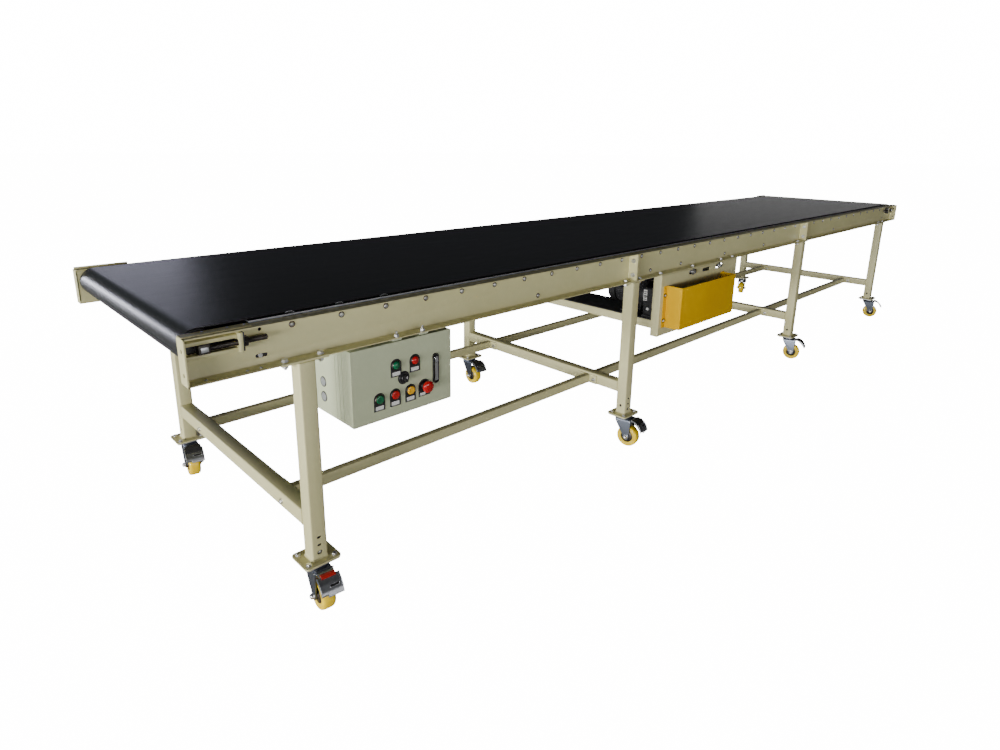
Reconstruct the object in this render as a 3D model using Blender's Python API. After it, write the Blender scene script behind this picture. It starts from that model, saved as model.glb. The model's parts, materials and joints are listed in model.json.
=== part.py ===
"""Mobile belt conveyor section, 5.55 m long, on castors.

X runs along the conveyor, tail roller at -X. Y runs across it, controls and chain drive on the -Y side.
Z is up and the floor is z = 0. Dimensions are in millimetres here; MM turns them into metres.
"""

import math

import bmesh
import bpy
from mathutils import Matrix, Vector

for old in list(bpy.data.objects):
    bpy.data.objects.remove(old, do_unlink=True)

MM = 0.001
GAP = 0.3  # clearance between pieces that touch
WELD = 0.002  # points closer than this are one

# Side frames: C-channels with the web beside the belt and the flanges outwards.
LENGTH = 5550
HALF_WIDTH = 560  # to the flange edges
WEB_OUT, WEB_IN = 517, 514
FRAME_BOTTOM, FRAME_TOP = 773, 893
SHEET = 3
END_PLATE = 4
JOINTS_X = (-2775, -925, 925, 2775)
JOINT_BOLT_Y, JOINT_BOLT_Z = 540, (861, 800)

# Legs: square tube H-frames.
TUBE, TUBE_WALL = 50, 3
LEG_X = (-2470, -925, 903, 2470)  # post centres
CROSSBAR_Z = (255, 305)
POST_FOOT = 157.5
LEG_Y = HALF_WIDTH - TUBE / 2
TIE_Y, TIE_W, TIE_Z = 341, 30, (256.5, 296.5)

# Castors.
SWIVEL_Z = 141.5
WHEEL_R, WHEEL_W, TRAIL = 50, 44, 33
LEG_IN, LEG_OUT = 26, 30  # faces of the fork's legs, from its middle
PEDAL_HALF, PEDAL_WIDE = 24, 34  # half widths between the legs and past them
PEDAL_X, PEDAL_Z = 47, 131.7
HEADINGS = {  # degrees from +X of each trail, near side then far side
    "near": (-95, -80, -74, -64),
    "far": (-98, -91, 90, 20),
}

# Belt and rollers.
BELT_W, BELT_T = 1000, 3
NOSE_R = 47.5
NOSE_X, NOSE_Z = 2721.8, 853.5
ROLLER_R, AXLE_R = 43.8, 10
RETURN_Z = NOSE_Z - NOSE_R
DRUM_X, DRUM_Z, DRUM_R = -320, 630, 75
SNUB_R = 51
TURN_GAP = 0.6  # less radius on a turning drum or snub, so that it clears the belt at every angle
SNUB_DX = DRUM_R + GAP + BELT_T + SNUB_R + GAP
SNUB_Z = RETURN_Z - GAP - SNUB_R

# Take-ups.
SLOT_X, SLOT_Z = (18, 137), (841.5, 865.5)
SCREW_Y, SCREW_R = 531, 6

# Centre drive.
DRIVE_X, DRIVE_BOTTOM = (-726, 6), 479
FLANGE_BOLT_X = (-708, -422, -139, -14)
GUARD_X, GUARD_Z, GUARD_DEPTH = (-675.5, -160), (520, 718), 80
MOTOR_SHAFT_X, MOTOR_SHAFT_Z = -549, 630
CHAIN_PITCH, DRUM_TEETH, MOTOR_TEETH = 19.05, 19, 13

# Control box.
BOX_X, BOX_Z, BOX_DEPTH, DOOR_DEPTH = (-2340, -1970), (528, 766), 220, 24
BOX_FRONT = -HALF_WIDTH
BUTTON_X, BUTTON_Z = (-2248, -2191, -2134), 598
ESTOP_X, SELECTOR = -2077, (-2158, 645)
LAMPS = ((-2185, 692), (-2115, 692))
LATCH_X, LATCH_Z = -2034, (604, 689)

CREAM = (0.70, 0.67, 0.53, 1)
PAINTS = {  # base colour, metallic, roughness
    "cream": (CREAM, 0.0, 0.45),
    "belt": ((0.012, 0.012, 0.014, 1), 0.0, 0.4),
    "steel": ((0.55, 0.56, 0.58, 1), 1.0, 0.35),
    "black": ((0.01, 0.01, 0.012, 1), 0.0, 0.5),
    "yellow": ((0.80, 0.47, 0.01, 1), 0.0, 0.4),
    "box": ((0.38, 0.42, 0.34, 1), 0.0, 0.5),
    "fork": ((0.10, 0.11, 0.13, 1), 0.8, 0.45),
    "pedal": ((0.16, 0.17, 0.18, 1), 0.0, 0.5),
    "wheel": ((0.85, 0.55, 0.08, 1), 0.0, 0.4),
    "red": ((0.65, 0.01, 0.01, 1), 0.0, 0.35),
    "green": ((0.01, 0.25, 0.10, 1), 0.0, 0.35),
    "amber": ((0.80, 0.42, 0.01, 1), 0.0, 0.35),
}


# ---------------------------------------------------------------- solids
def solid(bm):
    """A temporary object from a closed bmesh, in millimetres."""
    bmesh.ops.recalc_face_normals(bm, faces=bm.faces)
    mesh = bpy.data.meshes.new("solid")
    bm.to_mesh(mesh)
    bm.free()
    obj = bpy.data.objects.new("solid", mesh)
    bpy.context.scene.collection.objects.link(obj)
    return obj


def prism(outline, axis, a, b):
    """The outline, given in the two axes other than axis and in their order, drawn out from a to b."""
    a, b = min(a, b), max(a, b)
    bm = bmesh.new()
    ends = []
    for depth in (a, b):
        row = []
        for p, q in outline:
            point = [p, q]
            point.insert("xyz".index(axis), depth)
            row.append(bm.verts.new(point))
        ends.append(row)
    n = len(outline)
    bm.faces.new(ends[0])
    bm.faces.new(ends[1][::-1])
    for i in range(n):
        j = (i + 1) % n
        bm.faces.new((ends[0][i], ends[1][i], ends[1][j], ends[0][j]))
    return solid(bm)


def block(x0, x1, y0, y1, z0, z1):
    return prism([(y0, z0), (y1, z0), (y1, z1), (y0, z1)], "x", x0, x1)


def lathe(profile, origin, axis, n=20):
    """A closed profile of (radius, distance along the axis), turned about the axis through origin."""
    turn = Vector(axis).normalized().to_track_quat("Z", "Y").to_matrix().to_4x4()
    place = Matrix.Translation(origin) @ turn
    bm = bmesh.new()
    rings = []
    for r, h in profile:
        if r < 1e-6:
            rings.append([bm.verts.new(place @ Vector((0, 0, h)))] * n)
            continue
        angles = [2 * math.pi * k / n for k in range(n)]
        rings.append([bm.verts.new(place @ Vector((r * math.cos(a), r * math.sin(a), h))) for a in angles])
    for ring, after in zip(rings, rings[1:] + rings[:1]):
        for k in range(n):
            corners = []
            for v in (ring[k], ring[(k + 1) % n], after[(k + 1) % n], after[k]):
                if v not in corners:
                    corners.append(v)
            if len(corners) > 2:
                bm.faces.new(corners)
    return solid(bm)


def rod(start, end, r, n=16):
    start, end = Vector(start), Vector(end)
    length = (end - start).length
    return lathe([(0, 0), (r, 0), (r, length), (0, length)], start, end - start, n)


def rounded(x0, x1, y0, y1, r, n=3):
    """Corners of a rounded rectangle."""
    points = []
    for cx, cy, start in ((x1 - r, y1 - r, 0), (x0 + r, y1 - r, 90), (x0 + r, y0 + r, 180), (x1 - r, y0 + r, 270)):
        for k in range(n + 1):
            a = math.radians(start + 90 * k / n)
            points.append((cx + r * math.cos(a), cy + r * math.sin(a)))
    return points


def make(name, paint, adds, cuts=(), axis_point=(0, 0, 0), turn=0.0):
    """One node: adds joined, cuts taken away, turned about Z through axis_point, where its origin goes."""
    base = adds[0]
    for kind, others in (("UNION", adds[1:]), ("DIFFERENCE", cuts)):
        for other in others:
            boolean = base.modifiers.new(kind, "BOOLEAN")
            boolean.operation = kind
            boolean.solver = "EXACT"
            boolean.object = other
    graph = bpy.context.evaluated_depsgraph_get()
    mesh = bpy.data.meshes.new_from_object(base.evaluated_get(graph))
    bm = bmesh.new()
    bm.from_mesh(mesh)
    bmesh.ops.remove_doubles(bm, verts=bm.verts, dist=WELD)
    bmesh.ops.dissolve_degenerate(bm, edges=bm.edges, dist=WELD)
    bmesh.ops.holes_fill(bm, edges=bm.edges, sides=4)
    loose = [edge for edge in bm.edges if not edge.link_faces]
    bmesh.ops.delete(bm, geom=loose, context="EDGES")
    bm.to_mesh(mesh)
    bm.free()
    for helper in (*adds, *cuts):
        bpy.data.objects.remove(helper, do_unlink=True)
    point = Vector(axis_point)
    mesh.transform(Matrix.Scale(MM, 4) @ Matrix.Rotation(turn, 4, "Z") @ Matrix.Translation(-point))
    mesh.name = name
    colour, metallic, roughness = PAINTS[paint]
    material = bpy.data.materials.new(name)
    material.use_nodes = True
    shader = material.node_tree.nodes["Principled BSDF"]
    shader.inputs["Base Color"].default_value = colour
    shader.inputs["Metallic"].default_value = metallic
    shader.inputs["Roughness"].default_value = roughness
    mesh.materials.clear()
    mesh.materials.append(material)
    for face in mesh.polygons:
        face.material_index = 0
    obj = bpy.data.objects.new(name, mesh)
    obj.location = point * MM
    bpy.context.scene.collection.objects.link(obj)
    return obj


# ---------------------------------------------------------------- side frames
def channel(side, number):
    """One third of a side frame. side is -1 near, +1 far."""
    x0, x1 = JOINTS_X[number] + GAP / 2, JOINTS_X[number + 1] - GAP / 2
    if number == 0:
        x0 = JOINTS_X[0]
    if number == 2:
        x1 = JOINTS_X[3]
    inner, web, edge = side * WEB_IN, side * WEB_OUT, side * HALF_WIDTH
    bottom, top = FRAME_BOTTOM, FRAME_TOP
    section = [
        (inner, bottom), (edge, bottom), (edge, bottom + SHEET), (web, bottom + SHEET),
        (web, top - SHEET), (edge, top - SHEET), (edge, top), (inner, top),
    ]
    adds = [prism(section, "x", x0, x1)]
    cuts = []
    for end, x in ((-1, x0), (1, x1)):
        full = [(inner, bottom), (edge, bottom), (edge, top), (inner, top)]
        adds.append(prism(full, "x", x, x - end * END_PLATE))
        for z in JOINT_BOLT_Z:
            y = side * JOINT_BOLT_Y
            cuts.append(rod((x - 8, y, z), (x + 8, y, z), 5, 6))
        if abs(x) < LENGTH / 2:
            continue
        # Take-up at an outer end: a slot in the web between two guide rails, and a plate with a welded nut.
        def span(a, b):
            return sorted((x - end * a, x - end * b))

        adds.append(block(*span(10, 140), side * 516, side * 535, 866, 876))
        adds.append(block(*span(10, 140), side * 516, side * 535, 831, 841))
        adds.append(block(*span(136, 146), side * 516, side * 546, 829, 881))
        nut_x = span(145, 156)
        adds.append(lathe([(0, 0), (12, 0), (12, 11), (0, 11)], (nut_x[0], side * SCREW_Y, NOSE_Z), (1, 0, 0), 6))
        cuts.append(rod((x - end * 130, side * SCREW_Y, NOSE_Z), (x - end * 160, side * SCREW_Y, NOSE_Z), 6.6, 12))
        slot = span(*SLOT_X)
        cuts.append(block(*slot, side * 510, side * 520, *SLOT_Z))
        hole = span(184, 218)
        cuts.append(prism(rounded(*hole, 796, 806, 4.9, 2), "y", side * 510, side * 520))
        # Strip that covers the gap beside the belt nose.
        adds.append(block(*span(0, 171), side * 505, side * 542, top - 1, top + 2))
    name = f"frame_{'near' if side < 0 else 'far'}_{number + 1}"
    make(name, "cream", adds, cuts)


# ---------------------------------------------------------------- legs and ties
def leg_frame(number):
    centre = LEG_X[number]
    half = TUBE / 2
    adds, cuts = [], []
    for side in (-1, 1):
        y0, y1 = side * (HALF_WIDTH - TUBE), side * HALF_WIDTH
        adds.append(block(centre - half, centre + half, y0, y1, POST_FOOT - 1, 769))
        inset = side * TUBE_WALL
        cuts.append(
            block(centre - half + 3, centre + half - 3, y0 + inset, y1 - inset, POST_FOOT + 1, 767)
        )
        # Plate under the side frame, foot plate, and the castor's own plate and bearing ring.
        adds.append(block(centre - 70, centre + 70, side * 512, side * 556, 767.7, FRAME_BOTTOM - GAP))
        yc = side * LEG_Y
        adds.append(prism(rounded(centre - 57.5, centre + 57.5, yc - 50, yc + 50, 12, 2), "z", 151.5, POST_FOOT))
        adds.append(block(centre - 55, centre + 55, yc - 47.5, yc + 47.5, 147.5, 152))
        adds.append(rod((centre, yc, SWIVEL_Z), (centre, yc, 149), 32, 12))
        for dx in (-41, 41):
            for dy in (-33, 33):
                adds.append(rod((centre + dx, yc + dy, 157), (centre + dx, yc + dy, 163), 7, 6))
        for dx in (-52, 52):
            cuts.append(rod((centre + dx, side * 538, 765), (centre + dx, side * 538, 775), 5, 6))
        # Levelling slots near the foot, open to the inside of the post.
        for z, w, h in ((229, 14, 7), (204, 14, 7), (179, 18, 12)):
            outline = rounded(centre - w / 2, centre + w / 2, z - h / 2, z + h / 2, h / 2 - 0.5, 1)
            cuts.append(prism(outline, "y", side * (HALF_WIDTH - 5), side * (HALF_WIDTH + 5)))
        cuts.append(rod((centre - half - 5, yc, 195), (centre - half + 5, yc, 195), 6, 6))
        # Bolt hole in the crossbar beside the tie bar.
        cuts.append(rod((centre - half - 5, side * TIE_Y - 38, 276.5), (centre, side * TIE_Y - 38, 276.5), 4.5, 6))
    bar = HALF_WIDTH - TUBE
    adds.append(block(centre - half, centre + half, -bar - 1, bar + 1, *CROSSBAR_Z))
    cuts.append(block(centre - half + 3, centre + half - 3, -bar + 2, bar - 2, CROSSBAR_Z[0] + 3, CROSSBAR_Z[1] - 3))
    make(f"leg_frame_{number + 1}", "cream", adds, cuts)


def tie_bar(side, bay):
    """Tube between two crossbars, with a bolted plate at each end."""
    x0 = LEG_X[bay] + TUBE / 2 + GAP
    x1 = LEG_X[bay + 1] - TUBE / 2 - GAP
    y, w = side * TIE_Y, TIE_W / 2
    adds = [block(x0 + 1, x1 - 1, y - w, y + w, *TIE_Z)]
    cuts = [block(x0 + 8, x1 - 8, y - w + 3, y + w - 3, TIE_Z[0] + 3, TIE_Z[1] - 3)]
    cuts.append(rod((x0 + 60, y, TIE_Z[0] - 5), (x0 + 60, y, TIE_Z[0] + 5), 5, 6))
    for x, inward in ((x0, 1), (x1, -1)):
        adds.append(block(x, x + inward * 5, y - 55, y + 55, TIE_Z[0], TIE_Z[1]))
        cuts.append(rod((x - 8, y - 38, 276.5), (x + 8, y - 38, 276.5), 4.5, 6))
    make(f"tie_bar_{'near' if side < 0 else 'far'}_{bay + 1}", "cream", adds, cuts)


# ---------------------------------------------------------------- castors
def castor(side, number):
    """Fork, wheel and brake pedal, drawn with the trail along +X and then turned to its heading."""
    place = "near" if side < 0 else "far"
    turn = math.radians(HEADINGS[place][number])
    swivel = Vector((LEG_X[number], side * LEG_Y, 0))
    label = f"{place}_{number + 1}"

    def node(name, paint, adds, cuts, origin):
        """A node whose origin is at a point of the untwisted castor."""
        obj = make(name, paint, adds, cuts, origin, turn)
        obj.location = (swivel + Matrix.Rotation(turn, 3, "Z") @ Vector(origin)) * MM

    leg = [(-27, 138), (48, 138), (52, 134), (52, 127), (47, 50), (41, 38), (25, 38), (17, 48)]
    adds = [
        rod((0, 0, 133), (0, 0, SWIVEL_Z - GAP), 31, 14),
        block(-27, 33, -LEG_OUT, LEG_OUT, 133, 138),
    ]
    for y in (-LEG_OUT, LEG_IN):
        adds.append(prism(leg, "y", y, y + LEG_OUT - LEG_IN))
    adds.append(rod((TRAIL, -LEG_OUT - 4, WHEEL_R), (TRAIL, LEG_OUT + 4, WHEEL_R), 5, 8))
    for out in (-1, 1):
        adds.append(rod((TRAIL, out * LEG_OUT, WHEEL_R), (TRAIL, out * (LEG_OUT + 9), WHEEL_R), 9, 8))
    adds.append(rod((PEDAL_X, -LEG_IN - 2, PEDAL_Z), (PEDAL_X, LEG_IN + 2, PEDAL_Z), 2.5, 6))
    node(f"castor_fork_{label}", "fork", adds, [], (0, 0, SWIVEL_Z))

    half = WHEEL_W / 2
    hub, disc = LEG_IN - 1, half - 8
    profile = [
        (5.4, -hub), (13, -hub), (35, -disc), (38, -half), (WHEEL_R, 6 - half),
        (WHEEL_R, half - 6), (38, half), (35, disc), (13, hub), (5.4, hub),
    ]
    wheel = lathe(profile, (TRAIL, 0, WHEEL_R), (0, 1, 0), 16)
    node(f"castor_wheel_{label}", "wheel", [wheel], [], (TRAIL, 0, WHEEL_R))
    if (place, number) == ("far", 2):
        return  # this castor has no brake
    pz = PEDAL_Z
    strip = [
        (50, 134), (57, 137), (74, 133), (92, 120), (106, 102), (113, 86),
        (108, 84), (101, 99), (88, 115), (71, 128), (50, 129),
    ]
    adds = [
        rod((PEDAL_X, -PEDAL_HALF, pz), (PEDAL_X, PEDAL_HALF, pz), 5, 8),
        prism(strip, "y", -PEDAL_HALF, PEDAL_HALF),
        prism(strip[2:10], "y", -PEDAL_WIDE, PEDAL_WIDE),
        # Brake shoe, which points from the hinge to the wheel's axle.
        prism([(44, 131), (51, 131), (45.5, 101.6), (38.5, 102.8)], "y", -10, 10),
    ]
    cuts = [rod((PEDAL_X, -LEG_IN, pz), (PEDAL_X, LEG_IN, pz), 3.1, 6)]
    node(f"castor_pedal_{label}", "pedal", adds, cuts, (PEDAL_X, 0, pz))


# ---------------------------------------------------------------- belt, bed, rollers
def arc(cx, cz, r, start, end, n):
    angles = [math.radians(start + (end - start) * k / n) for k in range(n + 1)]
    return [(cx + r * math.cos(a), cz + r * math.sin(a)) for a in angles]


def belt():
    """Endless loop: over the deck, round both nose rollers, and down round the drive drum between the snubs."""
    left, right = DRUM_X - SNUB_DX, DRUM_X + SNUB_DX
    loops = []
    for outward in (BELT_T, 0):
        nose = NOSE_R - BELT_T + outward
        snub = SNUB_R + GAP + BELT_T - outward
        drum = DRUM_R + GAP + outward
        loops.append(
            arc(-NOSE_X, NOSE_Z, nose, 90, 270, 12)
            + arc(left, SNUB_Z, snub, 90, 0, 6)
            + arc(DRUM_X, DRUM_Z, drum, 180, 360, 12)
            + arc(right, SNUB_Z, snub, 180, 90, 6)
            + arc(NOSE_X, NOSE_Z, nose, -90, 90, 12)
        )
    bm = bmesh.new()
    rings = [
        [bm.verts.new((x, y, z)) for x, z in loop] for loop in loops for y in (-BELT_W / 2, BELT_W / 2)
    ]
    outer_near, outer_far, inner_near, inner_far = rings
    n = len(outer_near)
    for i in range(n):
        j = (i + 1) % n
        for a, b in ((outer_near, outer_far), (outer_far, inner_far), (inner_far, inner_near), (inner_near, outer_near)):
            bm.faces.new((a[i], a[j], b[j], b[i]))
    make("belt", "belt", [solid(bm)])


def slider_bed():
    """Folded steel deck that carries the top run, with a hem down each side."""
    end = LENGTH / 2 - 175
    under = NOSE_Z + NOSE_R - BELT_T - GAP
    side = WEB_IN - GAP
    section = [
        (-side, under - 22), (-side + 2, under - 22), (-side + 2, under - 2), (side - 2, under - 2),
        (side - 2, under - 22), (side, under - 22), (side, under), (-side, under),
    ]
    make("slider_bed", "steel", [prism(section, "x", -end, end)])


def roller_tube(r, bore, half, wall, disc):
    """Profile of a tube with a bored disc at each end, open at the bore."""
    return [
        (bore, -half), (r, -half), (r, half), (bore, half), (bore, half - disc),
        (r - wall, half - disc), (r - wall, disc - half), (bore, disc - half),
    ]


def nose_roller(name, end):
    x = end * NOSE_X
    tube = lathe(roller_tube(ROLLER_R, AXLE_R + 0.4, 505, 3.5, 14), (x, 0, NOSE_Z), (0, 1, 0), 24)
    make(name, "steel", [tube], axis_point=(x, 0, NOSE_Z))


def takeup(name, end):
    """Dead axle with a sliding block and a tension screw at each end."""
    x = end * NOSE_X
    adds = [rod((x, -538, NOSE_Z), (x, 538, NOSE_Z), AXLE_R, 16)]
    for side in (-1, 1):
        adds.append(block(x - 14, x + 14, side * 511, side * 541, NOSE_Z - 11.7, NOSE_Z + 11.7))
        tip = end * (LENGTH / 2 - 213)
        adds.append(rod((x - end * 10, side * SCREW_Y, NOSE_Z), (tip, side * SCREW_Y, NOSE_Z), SCREW_R, 12))
    make(name, "steel", adds, axis_point=(x, 0, NOSE_Z))


# ---------------------------------------------------------------- centre drive
def drive_frame():
    """Two flanged side plates under the side frames, two crossbars and the motor plate, welded together."""
    x0, x1 = DRIVE_X
    top = FRAME_BOTTOM - GAP
    adds, cuts = [], []
    for side in (-1, 1):
        outer = side * HALF_WIDTH
        adds.append(block(x0, x1, outer, outer - side * 4, DRIVE_BOTTOM, top))
        for z0, z1 in ((DRIVE_BOTTOM, DRIVE_BOTTOM + 4), (top - 4, top)):
            adds.append(block(x0, x1, outer, outer - side * 40, z0, z1))
        for a, b in ((x0, x0 + 4), (x1 - 4, x1)):
            adds.append(block(a, b, outer, outer - side * 40, DRIVE_BOTTOM, top))
        for sx in (-1, 1):
            xs = DRUM_X + sx * SNUB_DX
            cuts.append(prism(rounded(xs - 35, xs + 35, SNUB_Z - 11, SNUB_Z + 11, 8, 1), "y", outer + 5, outer - 5))
        cuts.append(rod((DRUM_X, outer - 8, DRUM_Z), (DRUM_X, outer + 8, DRUM_Z), 17, 12))
        # A slot between the two that hold the snub axles.
        cuts.append(prism(rounded(DRUM_X - 38, DRUM_X + 38, 742, 760, 7, 1), "y", outer + 5, outer - 5))
        for x in FLANGE_BOLT_X:
            cuts.append(rod((x, side * 540, top - 8), (x, side * 540, top + 4), 5, 6))
    cuts.append(rod((MOTOR_SHAFT_X, -570, MOTOR_SHAFT_Z), (MOTOR_SHAFT_X, -550, MOTOR_SHAFT_Z), 14, 12))
    for a, b in ((x0, x0 + 50), (x1 - 50, x1)):
        adds.append(block(a, b, -558, 558, 513, 553))
        cuts.append(block(a + 3, b - 3, -552, 552, 516, 550))
        cuts.append(rod((a + 25, 300, 508), (a + 25, 300, 520), 6, 6))
    adds.append(block(x0 + 1, -505, -558, 13, 552, 557))
    make("drive_frame", "cream", adds, cuts)


def gearmotor():
    """Offset-shaft gearbox against the near plate with the motor behind it, feet on the motor plate."""
    adds = [
        block(-706, -515, -553, -455, 563, 700),
        block(-714, -507, -550, -458, 557.3, 566),
        rod((-640, -456, 655), (-640, -285, 655), 58, 20),
        rod((-640, -286, 655), (-640, -246, 655), 62, 20),
        block(-680, -600, -400, -320, 700, 738),
        block(-690, -590, -400, -310, 557.3, 605),
    ]
    cuts = [rod((MOTOR_SHAFT_X, -560, MOTOR_SHAFT_Z), (MOTOR_SHAFT_X, -470, MOTOR_SHAFT_Z), 12.8, 12)]
    make("gearmotor", "black", adds, cuts)


def sprocket(x, z, teeth):
    """Toothed plate in the plane of the chain."""
    pitch_r = CHAIN_PITCH / 2 / math.sin(math.pi / teeth)
    outline = []
    for k in range(teeth):
        for step, radius in ((-0.5, pitch_r - 6), (0, pitch_r + 4)):
            a = 2 * math.pi * (k + step) / teeth
            outline.append((x + radius * math.cos(a), z + radius * math.sin(a)))
    return prism(outline, "y", -594, -586)


def motor_sprocket():
    x, z = MOTOR_SHAFT_X, MOTOR_SHAFT_Z
    adds = [sprocket(x, z, MOTOR_TEETH), rod((x, -480, z), (x, -606, z), 12, 12), rod((x, -604, z), (x, -575, z), 22, 12)]
    make("motor_sprocket", "steel", adds, axis_point=(x, 0, z))


def drive_drum():
    """Drum, live shaft and the driven sprocket."""
    x, z = DRUM_X, DRUM_Z
    adds = [
        lathe(roller_tube(DRUM_R - TURN_GAP, 12, 505, 6, 10), (x, 0, z), (0, 1, 0), 24),
        rod((x, -612, z), (x, 575, z), 15, 12),
        sprocket(x, z, DRUM_TEETH),
        rod((x, -608, z), (x, -575, z), 27, 12),
    ]
    vent = rod((x + 45, -510, z), (x + 45, -485, z), 8, 6)
    make("drive_drum", "steel", adds, [vent], axis_point=(x, 0, z))


def snub_roller(name, direction):
    x = DRUM_X + direction * SNUB_DX
    tube = lathe(roller_tube(SNUB_R - TURN_GAP, 7, 505, 4, 10), (x, 0, SNUB_Z), (0, 1, 0), 24)
    adds = [tube, rod((x, -572, SNUB_Z), (x, 572, SNUB_Z), 9, 12)]
    vent = rod((x + 28, -510, SNUB_Z), (x + 28, -485, SNUB_Z), 6, 6)
    make(name, "steel", adds, [vent], axis_point=(x, 0, SNUB_Z))


def chain_guard():
    """Open-topped sheet cover over the chain, with a bolted tab at each end."""
    (x0, x1), (z0, z1) = GUARD_X, GUARD_Z
    back = -HALF_WIDTH - GAP
    front = -HALF_WIDTH - GUARD_DEPTH
    adds = [block(x0, x1, front, back, z0, z1)]
    cuts = [block(x0 + 2, x1 - 2, front + 2, back + 5, z0 + 2, z1 + 5)]
    for a, b in ((x0 - 26, x0 + 1), (x1 - 1, x1 + 26)):
        adds.append(block(a, b, back - 2, back, z0, z1))
        for z in (z0 + 34, z1 - 44):
            cuts.append(rod(((a + b) / 2, back - 5, z), ((a + b) / 2, back + 5, z), 5, 6))
    make("chain_guard", "yellow", adds, cuts)


# ---------------------------------------------------------------- control box
def control_box():
    """Sheet shell open at the front, with a rolled rim and two hanger brackets under the near side frame."""
    (x0, x1), (z0, z1) = BOX_X, BOX_Z
    front, back = BOX_FRONT + DOOR_DEPTH + 1, BOX_FRONT + BOX_DEPTH
    adds = [
        block(x0 + 3, x1 - 3, front, back, z0 + 3, z1 - 1),
        block(x0, x1, front + 20, front + 42, z0, z1 - 0.5),
    ]
    cuts = [block(x0 + 8, x1 - 8, front - 5, back - 3, z0 + 8, z1 - 6)]
    for x in (-2175, -2075):
        adds.append(block(x - 15, x + 15, front - 24, front + 30, z1 + 1.5, FRAME_BOTTOM - GAP))
        adds.append(block(x - 15, x + 15, front + 2, front + 30, z1 - 4, z1 + 2))
        cuts.append(rod((x, -548, z1 - 2), (x, -548, FRAME_BOTTOM + 4), 4.5, 6))
    for z in (583, 632):
        cuts.append(rod((x0 - 4, -396, z), (x0 + 12, -396, z), 11, 12))
    make("control_box", "box", adds, cuts)


def box_door():
    """Tray-shaped door with the push-button bezels, the lamps and the handle recess standing on it."""
    (x0, x1), (z0, z1) = BOX_X, BOX_Z
    front, back = BOX_FRONT, BOX_FRONT + DOOR_DEPTH
    top = z1 - 1
    adds = [block(x0, x1, front, back, z0, top)]
    cuts = [block(x0 + 2, x1 - 2, front + 2, back + 5, z0 + 2, top - 2)]
    for x in BUTTON_X + (ESTOP_X,):
        adds.append(rod((x, front - 5, BUTTON_Z), (x, front + 1, BUTTON_Z), 15, 12))
        cuts.append(rod((x, front - 9, BUTTON_Z), (x, front + 9, BUTTON_Z), 11.9, 12))
    adds.append(rod((SELECTOR[0], front - 5, SELECTOR[1]), (SELECTOR[0], front + 1, SELECTOR[1]), 15, 12))
    cuts.append(rod((SELECTOR[0], front - 9, SELECTOR[1]), (SELECTOR[0], front + 9, SELECTOR[1]), 11.9, 12))
    for x, z in LAMPS:
        adds.append(lathe([(0, -12), (8, -12), (12, -8), (12, 1.6), (0, 1.6)], (x, front, z), (0, 1, 0), 12))
        adds.append(rod((x, front - 4, z), (x, front + 1, z), 15, 12))
    # Frame of the flush handle.
    frame_z = (LATCH_Z[0] - 10, LATCH_Z[1] + 10)
    adds.append(prism(rounded(LATCH_X - 14, LATCH_X + 14, *frame_z, 10, 2), "y", front - 6, front + 1.15))
    pocket = rounded(LATCH_X - 9.5, LATCH_X + 9.5, frame_z[0] + 4, frame_z[1] - 4, 8, 2)
    cuts.append(prism(pocket, "y", front - 8, front + 0.5))
    make("box_door", "box", adds, cuts, axis_point=(x0, back, 0))


def cap(name, paint, x, z, head, stem_r=11):
    """A control that works through a hole in the door; head is its outer profile of (radius, distance out)."""
    profile = [(0, 14), (stem_r, 14), (stem_r, -5.5)] + [(r, -d) for r, d in head] + [(0, -head[-1][1])]
    make(name, paint, [lathe(profile, (x, BOX_FRONT, z), (0, 1, 0), 16)], axis_point=(x, BOX_FRONT, z))


def selector():
    x, z = SELECTOR
    adds = [
        lathe([(0, 14), (11, 14), (11, -8), (0, -8)], (x, BOX_FRONT, z), (0, 1, 0), 14),
        prism(rounded(x - 4, x + 4, z - 10, z + 10, 3.5, 1), "y", BOX_FRONT - 20, BOX_FRONT - 5),
    ]
    make("selector_knob", "black", adds, axis_point=(x, BOX_FRONT, z))


def latch():
    """Lift-up handle lying in its frame, hinged at its foot."""
    z0, z1 = LATCH_Z[0] + 2, LATCH_Z[1] - 2
    front = BOX_FRONT - 6
    adds = [
        prism(rounded(LATCH_X - 7, LATCH_X + 7, z0, z1, 5, 2), "y", front - 1, front + 4),
        rod((LATCH_X - 8, front + 2.2, z0 + 2.5), (LATCH_X + 8, front + 2.2, z0 + 2.5), 2.4, 8),
    ]
    make("latch_handle", "steel", adds, axis_point=(LATCH_X, front + 2.2, z0 + 2.5))


# ---------------------------------------------------------------- assembly
for which in (-1, 1):
    for part in range(3):
        channel(which, part)
        tie_bar(which, part)
    for part in range(4):
        castor(which, part)
for part in range(4):
    leg_frame(part)
belt()
slider_bed()
nose_roller("tail_roller", -1)
nose_roller("head_roller", 1)
takeup("tail_takeup", -1)
takeup("head_takeup", 1)
drive_frame()
gearmotor()
motor_sprocket()
drive_drum()
snub_roller("snub_roller_tail", -1)
snub_roller("snub_roller_head", 1)
chain_guard()
control_box()
box_door()
latch()
selector()
cap("button_green", "green", BUTTON_X[0], BUTTON_Z, [(11, 8), (9, 9)])
cap("button_red", "red", BUTTON_X[1], BUTTON_Z, [(11, 8), (9, 9)])
cap("button_yellow", "amber", BUTTON_X[2], BUTTON_Z, [(11, 8), (9, 9)])
cap("estop_button", "red", ESTOP_X, BUTTON_Z, [(9, 12), (19, 14), (20, 21), (15, 26)], 9)
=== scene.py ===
"""Looks for the belt conveyor section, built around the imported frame.

Shapes are drawn in millimetres, in the frame's axes, and MM turns them into metres.
X runs along the conveyor from the tail end, -Y is the side with the controls, Z is up.
"""

import json
import math

import bmesh
import bpy
from mathutils import Matrix, Vector

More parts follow.
